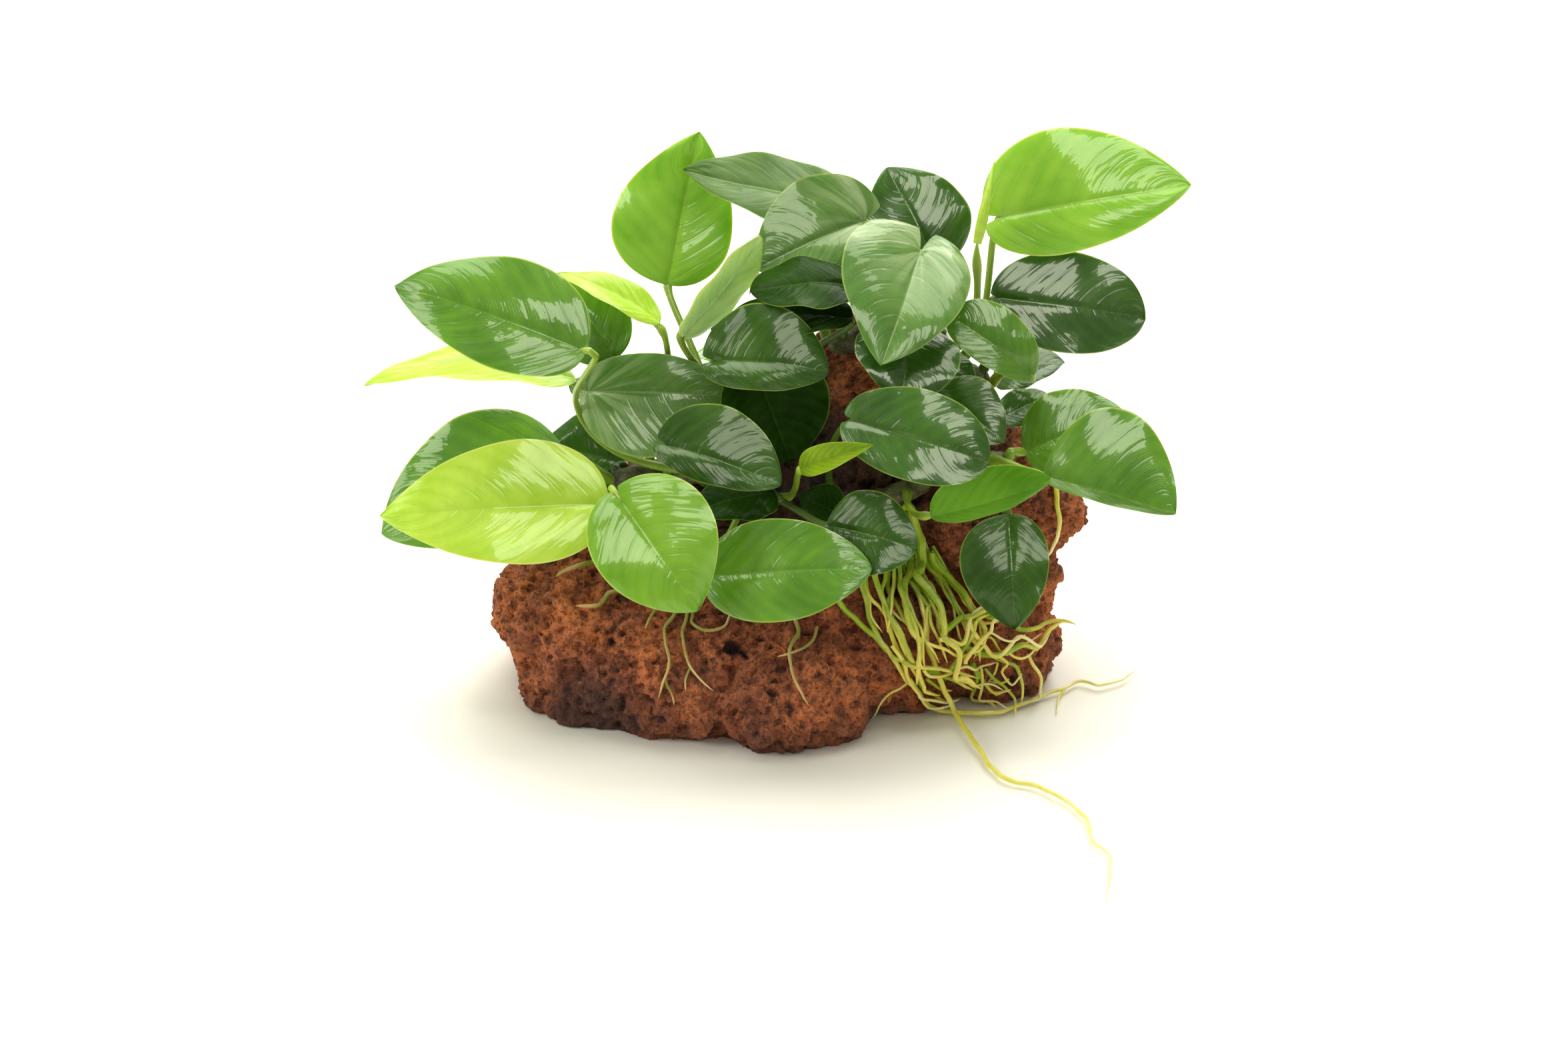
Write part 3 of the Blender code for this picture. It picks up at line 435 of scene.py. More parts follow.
# Skins, by the shader's inputs: how far each colour of the light in it spreads, and the widest spread in
# metres. Then their bumps: how strong they are, and their height in metres
BLADE_SKIN = {
    "Subsurface Radius": (0.5, 1.0, 0.15), "Subsurface Scale": 0.0012,
    "Specular Tint": (0.96, 1.0, 0.84, 1.0), "Coat Roughness": 0.35,
}
STALK_SKIN = {
    "Roughness": 0.3, "Subsurface Weight": 0.15,
    "Subsurface Radius": (0.6, 1.0, 0.2), "Subsurface Scale": 0.001,
}
ROOT_SKIN = {
    "Roughness": 0.38, "Subsurface Weight": 0.2,
    "Subsurface Radius": (1.0, 0.9, 0.3), "Subsurface Scale": 0.0008,
}
RHIZOME_SKIN = {"Roughness": 0.5}
STONE_SKIN = {"Roughness": 0.9}
BLADE_BUMP = (0.5, 0.0006)
STALK_BUMP = (0.25, 0.0003)
ROOT_BUMP = (0.3, 0.0003)
RHIZOME_BUMP = (0.5, 0.0006)
STONE_BUMP = (1.0, 0.0016)

# Noises of the skins: swells to a metre, or to a unit of the pattern's own places, detail and roughness,
# which is the last one here where none is given
BLADE_CLOUD = (95.0, 3.0, 0.5)
BLADE_SPECK = (900.0, 2.0, 0.6)
BLADE_STREAK = (1.2, 1.5, 0.5)
BLADE_FAN = (1.0, 2.0, 0.5)
STALK_CLOUD = (260.0, 3.0)
STALK_GRAIN = (1400.0, 2.0)
RHIZOME_CLOUD = (300.0, 4.0)
RHIZOME_FLECKS = (1500.0, 3.0)
ROOT_CLOUD = (240.0, 3.0)
ROOT_GRAIN = (1600.0, 2.0)
STONE_BROAD = (34.0, 4.0, 0.6)
STONE_MIDDLE = (130.0, 4.0, 0.65)
STONE_GRAIN = (520.0, 5.0, 0.7)
STONE_DUST = (1900.0, 3.0, 0.7)
FLOOR_CLOUD = (3.0, 2.0)
NOISE_ROUGHNESS = 0.55

# The pattern of a blade: where its veins, fine threads, midrib, rim and rays start and end, how much each
# shows, how the green is clouded, and how the streaks of its gloss follow the veins
VEIN_RANGE = (0.86, 1.0)
VEIN_FADE = (0.95, 0.45)
THREADS = 7.0
THREAD_RANGE = (0.7, 1.0)
MIDRIB_RANGE = (0.035, 0.008)
RIM_RANGE = (0.968, 0.99)
RAYS = 4.0
RAY_RANGE = (0.42, 0.64)
RAY_FADE = (0.6, 0.0)
VEIN_SHOWS = 0.07
THREAD_SHOWS = 0.01
MIDRIB_SHOWS = 0.25
RIM_SHOWS = 0.85
CLOUD_RANGE = (0.32, 0.70, 0.15, 0.75)
CLOUD_BY_VEINS = -0.12
CLOUD_BY_SPECKS = 0.35
UNEVEN_GLOSS = 0.05
STREAK_PLACE = (0.3, 3.0, 2.0)
BLADE_RELIEF = {"veins": -0.10, "thread": -0.02, "cloud": 0.7, "streak": 0.62, "speck": 0.01}

# Stalks, by how dark their blades are: their colours at the foot and at the blade
STALKS = {"bright": ((96, 134, 34), (166, 196, 62)), "dark": ((40, 62, 18), (92, 124, 36))}
DARK_STALKED = ("night", "deep", "dark")
STALK_BY_LENGTH = 0.5
STALK_BY_CLOUD = 0.6

# Rhizomes are olive green, brown in their dips, with corky flecks
RHIZOME_COLOURS = ((54, 48, 22), (88, 98, 38))
RHIZOME_RANGE = (0.35, 0.65)
CORK_COLOUR = (136, 124, 74)
CORK_RANGE = (0.58, 0.72, 0.0, 0.7)

# Roots: their colours where they leave the rhizome and at their tips, and where the change starts
ROOT_COLOURS = {
    "green": ((150, 180, 28), (244, 228, 108), 0.3),
    "pale": ((236, 224, 104), (252, 240, 178), 0.2),
    "cream": ((222, 216, 78), (248, 238, 172), 0.3),
    "creeping": ((134, 138, 48), (210, 176, 112), 0.25),
}
ROOT_CLOUDING = 1.4
FLECK_COLOUR = (144, 104, 36)
FLECK_RANGE = (0.62, 0.8, 0.0, 0.25)

# Small pits in the stone's skin: how many to a metre and the share of the cells that have one, how they
# drift, how wide they are, how much painted shade darkens them and to what colour, and how they sink
Pits = namedtuple("Pits", "per_metre share dark colour sink")
PITS = (Pits(360.0, 0.42, 0.6, (64, 30, 22), -0.8), Pits(780.0, 0.5, 0.4, (72, 34, 24), -0.45))
PIT_DRIFT_PITCH = 300.0
PIT_DRIFT_DETAIL = 2.0
PIT_DRIFT = (0.004, 0.004, 0.004)
PIT_RANGE = (0.46, 0.12)

# The stone's colours: two that its body wavers between, then layers over it, each with what it follows,
# where that starts and is full, how much it covers and its colour
STONE_BODY = ((180, 100, 62), (242, 140, 76))
STONE_BODY_RANGE = (0.36, 0.62)
Layer = namedtuple("Layer", "mask start full cover colour")
STONE_LAYERS = (
    Layer("middle", 0.46, 0.64, 0.7, (116, 62, 48)),
    Layer("grain", 0.53, 0.38, 0.7, (94, 48, 30)),
    Layer("grain", 0.56, 0.70, 0.65, (236, 160, 112)),
    Layer("dust", 0.47, 0.34, 0.5, (70, 36, 28)),
    Layer("charred", 0.024, 0.014, 0.75, (62, 44, 40)),
    # Painted shade: the part between the rhizomes, under the plant, darkened to a near black olive
    Layer("under_plant_shade", 1.35, 0.95, 0.85, (36, 34, 18)),
    # Painted shade along the foot, where the stone meets the floor
    Layer("foot_shade", -0.001, 0.008, 0.6, (84, 50, 38)),
)
# Painted shade in the pores: the deeper the pore, the closer to this colour
PORE_SHADE_COLOUR = (42, 22, 18)
PORE_SHADE_RANGE = (0.15, 0.9, 0.0, 0.85)
STONE_RELIEF = {"grain": 1.0, "dust": 0.4, "middle": 1.6}

# The middle of the stone's charcoal patch, the middle and the radii of the part between the rhizomes that
# is painted dark as the shade under the plant, and how ragged these and the painted shade along the foot are
CHAR_MIDDLE = (-0.042, -0.022, 0.004)
PLANT_SHADE_MIDDLE = (0.000, 0.004, 0.046)
PLANT_SHADE_RADII = (0.040, 0.034, 0.020)
CHAR_RAGGED = 0.016
PLANT_SHADE_RAGGED = 0.5
FOOT_SHADE_RAGGED = 0.016

# Lamps: a name, where each stands, its size, its power in watts, and whether it lights the scene or is
# only mirrored in it
Lamp = namedtuple("Lamp", "name place width height power lights")
LAMP_AIM = Vector((0.0, 0.0, 0.05))
LAMPS = (
    Lamp("ceiling", (0.0, 0.40, 1.05), 1.30, 0.90, 17.5, True),
    Lamp("window_left", (-0.95, -0.30, 0.60), 0.45, 0.50, 4.6, True),
    Lamp("window_back", (0.30, 0.85, 0.70), 0.60, 0.40, 4.0, True),
    Lamp("window_mirrored", (0.22, -0.80, 1.05), 0.80, 0.55, 10.5, False),
)
LAMP_COLOUR = (1.0, 0.98, 0.91)
SKY_COLOUR = (255, 251, 234)
SKY_STRENGTH = 0.43

# How a value as it is seen on screen is turned into light: straight below the bend, and a power above it
SCREEN_BEND = 0.04045
SCREEN_SLOPE = 12.92
SCREEN_LIFT = 0.055
SCREEN_POWER = 2.4
WHITE = (255, 255, 255)
BLACK = (0, 0, 0)

# Where a mixing node for colours takes its share and the two colours, and where it puts out the outcome
MIX_SHARE = 0
MIX_FIRST = 6
MIX_SECOND = 7
MIX_RESULT = 2

# The floor, and how it glows faintly far out, where the lamps don't reach
FLOOR_SIZE = 4.0
FLOOR_COLOURS = ((246, 244, 236), (250, 248, 242))
FLOOR_SKIN = {"Roughness": 0.8, "Emission Strength": 0.7}
GLOW_COLOUR = (255, 254, 248)
GLOW_RANGE = (0.2, 1.0)


def sighted(across, up, level, axis=BACK):
    """The point seen at across and up that lies this far back or, for the other axis, this high."""
    on_plane = SIGHT_MIDDLE + ACROSS * across + UPRIGHT * up
    share = (level - EYE[axis]) / (on_plane[axis] - EYE[axis])
    return EYE + (on_plane - EYE) * share


def on_stone(stone_tree, across, up, stand_off):
    """The point seen at across and up on the stone, or past it on the floor, stood off from it."""
    on_plane = SIGHT_MIDDLE + ACROSS * across + UPRIGHT * up
    place, normal, _, _ = stone_tree.ray_cast(EYE, (on_plane - EYE).normalized())
    if place is None:
        return sighted(across, up, stand_off, HEIGHT)
    return place + normal * stand_off


def seated(point, stone_tree, stand_off):
    """The point moved onto the nearest face of the stone, stood off from it."""
    place, normal, _, _ = stone_tree.find_nearest(point)
    return place + normal * stand_off


def bezier(points, share):
    """The point at a share along the Bezier curve of four points."""
    rest = 1.0 - share
    weights = (rest**3, 3 * rest * rest * share, 3 * rest * share * share, share**3)
    return sum((point * weight for point, weight in zip(points, weights)), Vector())


def smooth_route(points, spacing):
    """Points along the smooth curve through the given ones, about a spacing apart."""
    ends = [points[0] * 2 - points[1], *points, points[-1] * 2 - points[-2]]
    found = []
    for before, start, end, after in zip(ends, ends[1:], ends[2:], ends[3:]):
        handles = (start, start + (end - before) / 6, end - (after - start) / 6, end)
        steps = max(1, round((end - start).length / spacing))
        found += [bezier(handles, step / steps) for step in range(steps)]
    return found + [points[-1]]


def length_of(route):
    """The length of a route."""
    return sum((after - before).length for before, after in zip(route, route[1:]))


def kept_clear(route, stone_tree, stand_off):
    """The route with each point that is too close to the stone or the floor moved clear of it."""
    clear = []
    for point in route:
        place, normal, _, distance = stone_tree.find_nearest(point)
        if (point - place).dot(normal) < 0.0 or distance < stand_off:
            point = place + normal * stand_off
        clear.append(Vector((point.x, point.y, max(point.z, stand_off))))
    return clear


def carried_frames(route, start_side, backwards=False):
    """A side and a normal at each point of a route, carried from one to the next without twist."""
    ahead = [*route[1:], route[-1]]
    behind = [route[0], *route[:-1]]
    tangents = [(after - before).normalized() for after, before in zip(ahead, behind)]
    if backwards:
        tangents.reverse()
    frames = []
    side = start_side
    last = tangents[0]
    for tangent in tangents:
        side = last.rotation_difference(tangent) @ side
        side = (side - tangent * side.dot(tangent)).normalized()
        frames.append((side, tangent.cross(side).normalized()))
        last = tangent
    if backwards:
        frames.reverse()
    return frames


def half_width(share, point):
    """The blade's half width at a share of its length, as a share of the greatest."""
    widest = BASE_POWER / (BASE_POWER + point)
    return (share / widest) ** BASE_POWER * ((1.0 - share) / (1.0 - widest)) ** point


def blade_frame(leaf):
    """The base, the tip, the upper side and the face normal of a leaf's blade."""
    base = sighted(*leaf.base)
    tip = sighted(*leaf.tip)
    along = (tip - base).normalized()
    to_eye = EYE - (base + tip) / 2
    facing = (to_eye - along * to_eye.dot(along)).normalized()
    side = along.cross(facing)
    if side.dot(UPPER_SIDE) < 0:
        side = -side
    turn = math.radians(leaf.turn)
    face = facing * math.cos(turn) + side * math.sin(turn)
    return base, tip, side * math.cos(turn) - facing * math.sin(turn), face


def blade_half(leaf, blade, share, across):
    """The blade's half width in millimetres at a share of its length, on one side of the midrib."""
    base, tip, _, _ = blade
    nearness = (EYE - (base + tip) / 2).length / SIGHT_DISTANCE
    lean = leaf.lean if across > 0 else -leaf.lean
    return leaf.width / 2 * nearness * (1.0 + lean) * half_width(share, leaf.point)


def blade_point(leaf, blade, share, across):
    """A point on the middle sheet of the blade, at a share of its length and of its half width."""
    base, tip, side, face = blade
    half = blade_half(leaf, blade, share, across)
    out = abs(across)
    place = base.lerp(tip, share) + side * (across * half)
    place += face * (leaf.arch * 4 * share * (1 - share))
    place += face * (math.tan(math.radians(leaf.fold)) * out * half - MARGIN_DROOP * out * out * half)
    place -= (tip - base).normalized() * (leaf.lobe * out * (2 - out) * (1 - share) ** 3)
    place += side * (leaf.lobe * LOBE_SPREAD * math.copysign(out, across) * (1 - share) ** 4)
    return place


def petiole_handles(leaf, blade, rhizome, stone_tree):
    """The stalk's root in the rhizome, and the Bezier points from the rhizome's skin to the blade."""
    route, radius = rhizome
    base = blade[0]
    spot = leaf.share * (len(route) - 1)
    k = min(int(spot), len(route) - 2)
    core = route[k].lerp(route[k + 1], spot - k)
    run = (route[k + 1] - route[k]).normalized()
    _, away, _, _ = stone_tree.find_nearest(core)
    out = (base - core).normalized() + away * AWAY_FROM_STONE
    out = (out - run * out.dot(run)).normalized()
    foot = core + out * (radius + FOOT_GAP)
    reach = (base - foot).length
    ahead = (blade_point(leaf, blade, FIRST_BLADE_RING, 0.0) - base).normalized()
    knee = min(reach * KNEE_SHARE, KNEE_LENGTH)
    return core, (foot, foot + out * reach * STRAIGHT_SHARE, base - ahead * knee, base)


def mesh_of(name, bm):
    """A mesh with what is in the bmesh, which is given up."""
    mesh = bpy.data.meshes.new(name)
    bm.to_mesh(mesh)
    bm.free()
    return mesh


def add_object(name, data):
    """An object in the scene, of a mesh, a lamp or a camera."""
    made = bpy.data.objects.new(name, data)
    bpy.context.scene.collection.objects.link(made)
    return made


def add_piece(name, bm, materials, replaced=(), sharp_angle=SHARP_ANGLE):
    """Makes a piece of a mesh in millimetres, at its real size, and lets it ride on the part."""
    bmesh.ops.remove_doubles(bm, verts=bm.verts, dist=MERGED)
    bmesh.ops.scale(bm, vec=Vector((MM, MM, MM)), verts=bm.verts)
    mesh = mesh_of(name, bm)
    mesh.shade_smooth()
    mesh.set_sharp_from_angle(angle=math.radians(sharp_angle))
    for material in materials:
        mesh.materials.append(material)
    piece = add_object(name, mesh)
    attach(piece, "root")
    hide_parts(*replaced)


def ring_edges(bm, ring):
    """The edges of a closed ring of vertices."""
    return [bm.edges.get((ring[k - 1], ring[k])) for k in range(len(ring))]


def extrude_ring(bm, ring, places):
    """Extrudes a closed ring of vertices and puts the new ring at the places."""
    made = bmesh.ops.extrude_edge_only(bm, edges=ring_edges(bm, ring))["geom"]
    fresh = {part for part in made if isinstance(part, bmesh.types.BMVert)}
    new_ring = []
    for vert, place in zip(ring, places):
        above = next(edge.other_vert(vert) for edge in vert.link_edges if edge.other_vert(vert) in fresh)
        above.co = place
        new_ring.append(above)
    return new_ring


def add_tube(bm, route, frames, radius_at, sides, material=0):
    """Adds a closed tube along a route. radius_at gives the radius for a share of the length and an angle."""
    uv = bm.loops.layers.uv.verify()
    known = set(bm.faces)
    turns = [math.tau * side / sides for side in range(sides)]
    ring = bmesh.ops.create_circle(bm, cap_ends=True, segments=sides, radius=1.0)["verts"]
    share_of = {}
    for k, (place, (first, second)) in enumerate(zip(route, frames)):
        share = k / (len(route) - 1)
        places = [
            place + (first * math.cos(turn) + second * math.sin(turn)) * radius_at(share, turn)
            for turn in turns
        ]
        if k == 0:
            for vert, spot in zip(ring, places):
                vert.co = spot
        else:
            ring = extrude_ring(bm, ring, places)
        share_of.update((vert, share) for vert in ring)
    bmesh.ops.holes_fill(bm, edges=ring_edges(bm, ring))
    made = [face for face in bm.faces if face not in known]
    bmesh.ops.recalc_face_normals(bm, faces=made)
    for face in made:
        face.material_index = material
        face.smooth = True
        for loop in face.loops:
            loop[uv].uv = (0.5, share_of[loop.vert])


def sheet_point(leaf, blade, seed, share, across, upper):
    """A point on the upper or the lower skin of the blade, with its veins, swells and ruffles."""
    base, tip, _, face = blade
    out = abs(across)
    from_rib = out * blade_half(leaf, blade, share, across)
    spot = Vector((share, across * 0.5, seed))
    middle = noise.noise(spot * BEND_PITCH) * BEND_HEIGHT + noise.noise(spot * CRINKLE_PITCH) * CRINKLE_HEIGHT
    ruffle = math.tau * RUFFLES * share + seed + (RUFFLE_SHIFT if across > 0 else 0.0)
    middle += math.sin(ruffle) * RUFFLE_HEIGHT * out**3
    size = min(1.0, leaf.width / FULL_RELIEF_WIDTH)
    to_end = min(share, 1.0 - share) * (tip - base).length
    open_share = min(1.0, to_end / CLOSING_LENGTH)
    veins_passed = VEIN_PAIRS * (share - VEIN_SWEEP * out**VEIN_CURVE)
    swell = (0.5 - 0.5 * math.cos(math.tau * veins_passed)) * 4 * out * (1.0 - out)
    middle += swell * QUILT_HEIGHT * (QUILT_FADE - share)
    middle *= size * min(1.0, RELIEF_START * share)
    rib = math.exp(-((from_rib / RIB_WIDTH) ** 2)) * (1.0 - share) ** RIB_TAPER * size * open_share
    edge = math.sqrt(max(0.0, 1.0 - out**3) * open_share)
    thick = BLADE_THICKNESS / 2 * (1.0 - THIN_TOWARDS_TIP * share) * edge
    lift = middle + thick - GROOVE_DEPTH * rib if upper else middle - thick - RIB_DEPTH * rib
    return blade_point(leaf, blade, share, across) + face * lift


def add_sheet(bm, leaf, blade, seed, upper):
    """Adds the upper or the lower skin of a blade, from a grid laid over its outline."""
    uv = bm.loops.layers.uv.verify()
    known = set(bm.faces)
    grid = bmesh.ops.create_grid(bm, x_segments=BLADE_COLUMNS, y_segments=BLADE_ROWS, size=1.0)["verts"]
    spot = {}
    for vert in grid:
        across = math.copysign(abs(vert.co.x) ** COLUMN_CROWDING, vert.co.x)
        share = (1.0 - math.cos(math.pi * (vert.co.y + 1.0) / 2)) / 2
        spot[vert] = (across * 0.5 + 0.5, share)
        vert.co = sheet_point(leaf, blade, seed, share, across, upper)
    for face in bm.faces:
        if face not in known:
            face.material_index = UPPER_SLOT if upper else UNDER_SLOT
            for loop in face.loops:
                loop[uv].uv = spot[loop.vert]


def stalk_radius(length):
    """The stalk's radius along its length: wide in the sheath at its foot, and swollen below the blade."""
    def radius_at(share, turn):
        to_blade = (1.0 - share) * length - KEEL_LENGTH
        radius = PETIOLE_RADIUS * (OVAL_MIDDLE + OVAL_SWING * math.cos(2 * turn))
        radius += SHEATH_WIDTH * math.exp(-((share / SHEATH_SHARE) ** 2))
        radius += SWELLING_WIDTH * math.exp(-(((to_blade - SWELLING_LENGTH) / SWELLING_LENGTH) ** 2))
        keel_left = max(0.0, 1.0 + to_blade / KEEL_LENGTH)
        return radius * min(1.0, KEEL_END + (1.0 - KEEL_END) * keel_left)
    return radius_at


def keel_points(leaf, blade, seed):
    """Points below the midrib, along which the stalk runs out under the blade."""
    base, tip, _, face = blade
    points = []
    for k in range(1, KEEL_RINGS + 1):
        share = KEEL_LENGTH * k / KEEL_RINGS / (tip - base).length
        sunk = face * (KEEL_DEPTH * (1.0 - k / KEEL_RINGS))
        points.append(sheet_point(leaf, blade, seed, share, 0.0, False) - sunk)
    return points


def add_stalk(bm, leaf, blade, rhizome, stone_tree, keel):
    """Adds the stalk, from inside the rhizome to the blade and on along its keel."""
    core, handles = petiole_handles(leaf, blade, rhizome, stone_tree)
    _, _, side, face = blade
    below = face * -(PETIOLE_RADIUS + BLADE_THICKNESS / 2)
    handles = (*handles[:2], handles[2] + below, handles[3] + below)
    route = [core.lerp(handles[0], STALK_START)]
    if leaf.number in STALK_WAYS:
        way = [sighted(*place) for place in STALK_WAYS[leaf.number]]
        route += smooth_route([handles[0], *way, handles[2], handles[3]], STALK_STEP) + keel
    else:
        route += [bezier(handles, k / STALK_RINGS) for k in range(STALK_RINGS + 1)] + keel
    frames = carried_frames(route, side, backwards=True)
    add_tube(bm, route, frames, stalk_radius(length_of(route)), STALK_SIDES, STALK_SLOT)


def add_blade(bm, leaf, blade, seed):
    """Adds the two skins of a blade, closed along the margin."""
    add_sheet(bm, leaf, blade, seed, True)
    add_sheet(bm, leaf, blade, seed, False)
    bmesh.ops.remove_doubles(bm, verts=bm.verts, dist=MARGIN_MERGED)
    bmesh.ops.recalc_face_normals(bm, faces=bm.faces)
    if bm.calc_volume(signed=True) < 0.0:
        bmesh.ops.reverse_faces(bm, faces=bm.faces)


def add_spear(bm, leaf, blade):
    """Adds a blade that is still rolled up: a slim spear with the seam of its outer turn."""
    def radius_at(share, turn):
        past_seam = (turn - SEAM_START - share * SEAM_TWIST) % math.tau
        seam = math.exp(-((past_seam / SEAM_WIDTH) ** 2))
        belly = SPEAR_FOOT + SPEAR_BELLY * math.sin(math.pi * min(1.0, share * SPEAR_BELLY_PLACE))
        return leaf.width * belly * (SPEAR_END - share) ** SPEAR_TAPER * (1.0 - SEAM_DEPTH * seam)

    route = [blade_point(leaf, blade, k / SPEAR_RINGS, 0.0) for k in range(SPEAR_RINGS + 1)]
    add_tube(bm, route, carried_frames(route, blade[2]), radius_at, SPEAR_SIDES)


def leaf_piece(leaf, rhizome, stone_tree, slot, materials):
    """One leaf: its blade, open or still rolled up, on its stalk."""
    name = f"leaf_{leaf.number:02d}"
    blade = blade_frame(leaf)
    seed = leaf.number * LEAF_SEED
    bm = bmesh.new()
    if leaf.width < ROLLED_WIDTH:
        add_spear(bm, leaf, blade)
        keel = []
    else:
        add_blade(bm, leaf, blade, seed)
        keel = keel_points(leaf, blade, seed)
    add_stalk(bm, leaf, blade, rhizome, stone_tree, keel)
    add_piece("anubias_" + name, bm, materials, [name])


def rhizome_piece(name, thick, route, material):
    """A rhizome: a knobbly creeping stem, ringed by the scars of the leaves that it has shed."""
    fine = smooth_route(route, RHIZOME_STEP)
    length = length_of(fine)

    def radius_at(share, turn):
        spot = Vector((math.cos(turn), math.sin(turn), share * length * LUMP_STRETCH))
        ring = abs(math.sin(math.pi * share * length / SCAR_SPACING)) ** SCAR_SHARPNESS
        radius = thick * (1.0 - RHIZOME_TAPER * share**2)
        radius += noise.noise(spot * LUMP_PITCH) * RHIZOME_LUMPS + ring * SCAR_DEPTH
        foot = RHIZOME_FOOT[0] + RHIZOME_FOOT[1] * share
        return radius * min(1.0, foot, RHIZOME_TIP[0] + RHIZOME_TIP[1] * (1.0 - share))

    bm = bmesh.new()
    add_tube(bm, fine, carried_frames(fine, FIRST_SIDE), radius_at, RHIZOME_SIDES)
    add_piece("anubias_" + name, bm, [material], [name])


def root_route(root, stone_tree):
    """The fine route of a root over the stone and the floor."""
    lift = root.radius + root.lift
    laid = []
    for across, up, *more in root.spots:
        if len(more) == 2:
            laid.append(sighted(across, up, more[1]))
        else:
            laid.append(on_stone(stone_tree, across, up, lift + sum(more)))
    return smooth_route(kept_clear(smooth_route(laid, ROOT_SPACING), stone_tree, lift + ROOT_GAP), ROOT_STEP)


def add_root(bm, root, stone_tree, seed):
    """Adds one root, which wanders a little and runs to a fine end."""
    route = []
    for k, place in enumerate(root_route(root, stone_tree)):
        drift = noise.noise_vector(Vector((k * WANDER_PITCH, seed, WANDER_ROW))) * ROOT_WANDER
        route.append(place + Vector((drift.x, drift.y, max(drift.z, 0.0))))

    def radius_at(share, turn):
        spot = Vector((share * len(route) * ROOT_LUMP_PITCH, seed, turn * ROOT_LUMP_TURN))
        radius = root.radius * (1.0 - ROOT_TAPER * share**2) * (1.0 + ROOT_LUMPS * noise.noise(spot))
        return radius * min(1.0, ROOT_TIP[0] + ROOT_TIP[1] * (1.0 - share))

    add_tube(bm, route, carried_frames(route, FIRST_SIDE), radius_at, ROOT_SIDES)


def root_piece(name, rows, stone_tree, material, replaced=()):
    """One piece made of some roots."""
    bm = bmesh.new()
    for k, row in enumerate(rows):
        add_root(bm, Root(*row), stone_tree, k * ROOT_SEED + len(name))
    add_piece(name, bm, [material], replaced)


def mat_fill():
    """The strands that fill the mat, each at its own share of the way between the mat's edges."""
    draw = random.Random(MAT_SEED)
    strands = []
    for k in range(MAT_FILL):
        share = (k + draw.random()) / MAT_FILL
        spots = []
        for (left_across, left_up), (right_across, right_up) in zip(MAT_LEFT_EDGE, MAT_RIGHT_EDGE):
            across = left_across + (right_across - left_across) * share + draw.uniform(-1, 1) * MAT_WOBBLE
            up = left_up + (right_up - left_up) * share + draw.uniform(-1, 1) * MAT_WOBBLE
            spots.append((across, up))
        ends = draw.choice(MAT_FILL_SPOTS)
        radius = draw.uniform(*MAT_FILL_RADIUS)
        strands.append((radius, draw.uniform(*MAT_FILL_LIFT), spots[:ends]))
    return strands


def solid_stone():
    """The stone's solid in millimetres, with its corners joined."""
    bm = bmesh.new()
    bm.from_mesh(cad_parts["stone"].data)
    bmesh.ops.scale(bm, vec=Vector((1 / MM, 1 / MM, 1 / MM)), verts=bm.verts)
    bmesh.ops.remove_doubles(bm, verts=bm.verts, dist=SOLID_MERGED)
    return bm


def pore_depth(place, pores):
    """How deep the pores of one size are at a place."""
    drift = noise.noise_vector(place * PORE_WANDER_PITCH / pores.cell)
    distances, centres = noise.voronoi(place / pores.cell + drift * PORE_WANDER)
    if noise.cell(centres[0] * PORE_DRAW + CELL_MIDDLE) > pores.share:
        return 0.0
    inside = 1.0 - distances[0] / pores.mouth
    return pores.depth * max(0.0, inside) ** PORE_ROUNDNESS


def stone_piece(material, holes):
    """The lava stone: the solid's form with a fine skin of crags and pores, and its flat underside."""
    mesh = mesh_of("stone_source", solid_stone())
    source = add_object("stone_source", mesh)
    remesh = source.modifiers.new("even", "REMESH")
    remesh.mode = "VOXEL"
    remesh.voxel_size = STONE_VOXEL
    bm = bmesh.new()
    bm.from_mesh(source.evaluated_get(bpy.context.evaluated_depsgraph_get()).to_mesh())
    bpy.data.objects.remove(source)
    bpy.data.meshes.remove(mesh)
    axes = {"use_axis_x": True, "use_axis_y": True, "use_axis_z": True}
    bmesh.ops.smooth_vert(bm, verts=bm.verts, factor=STONE_SMOOTHING, **axes)
    bm.normal_update()
    pit = bm.verts.layers.float.new("pit")
    for vert in bm.verts:
        ridges = ((CRAG_MIDDLE - 2 * abs(noise.noise(vert.co * pitch))) * height for pitch, height in CRAGS)
        crag = min(HIGHEST_CRAG, sum(ridges))
        pores = sum(pore_depth(vert.co, size) for size in PORES)
        for middle, radius, depth in holes:
            pores += depth * max(0.0, 1.0 - ((vert.co - middle).length / radius) ** 2)
        free = min(1.0, max(0.0, vert.co.z - FLAT_HEIGHT) / FLAT_ZONE)
        # How deep the pore is here, which sets the painted shade in it
        vert[pit] = min(1.0, pores / PORE_SHADE_FULL_DEPTH)
        vert.co += vert.normal * (crag - pores) * free
        vert.co.z = max(vert.co.z, 0.0)
    add_piece("lava_stone", bm, [material], ["stone"], NO_SHARP_ANGLE)


def on_screen(colour):
    """The linear colour of one given as it is seen on screen, from 0 to 255."""
    linear = []
    for value in (part / 255 for part in colour):
        if value <= SCREEN_BEND:
            linear.append(value / SCREEN_SLOPE)
        else:
            linear.append(((value + SCREEN_LIFT) / (1.0 + SCREEN_LIFT)) ** SCREEN_POWER)
    return (*linear, 1.0)


def set_inputs(node, inputs):
    """Gives each of these inputs of a node a value or a link."""
    for key, value in inputs.items():
        if isinstance(value, bpy.types.NodeSocket):
            node.id_data.links.new(value, node.inputs[key])
        else:
            node.inputs[key].default_value = value


def add_node(tree, kind, inputs=None, **settings):
    """Adds a shader node with its settings and its inputs."""
    made = tree.nodes.new("ShaderNode" + kind)
    for key, value in settings.items():
        setattr(made, key, value)
    set_inputs(made, inputs or {})
    return made


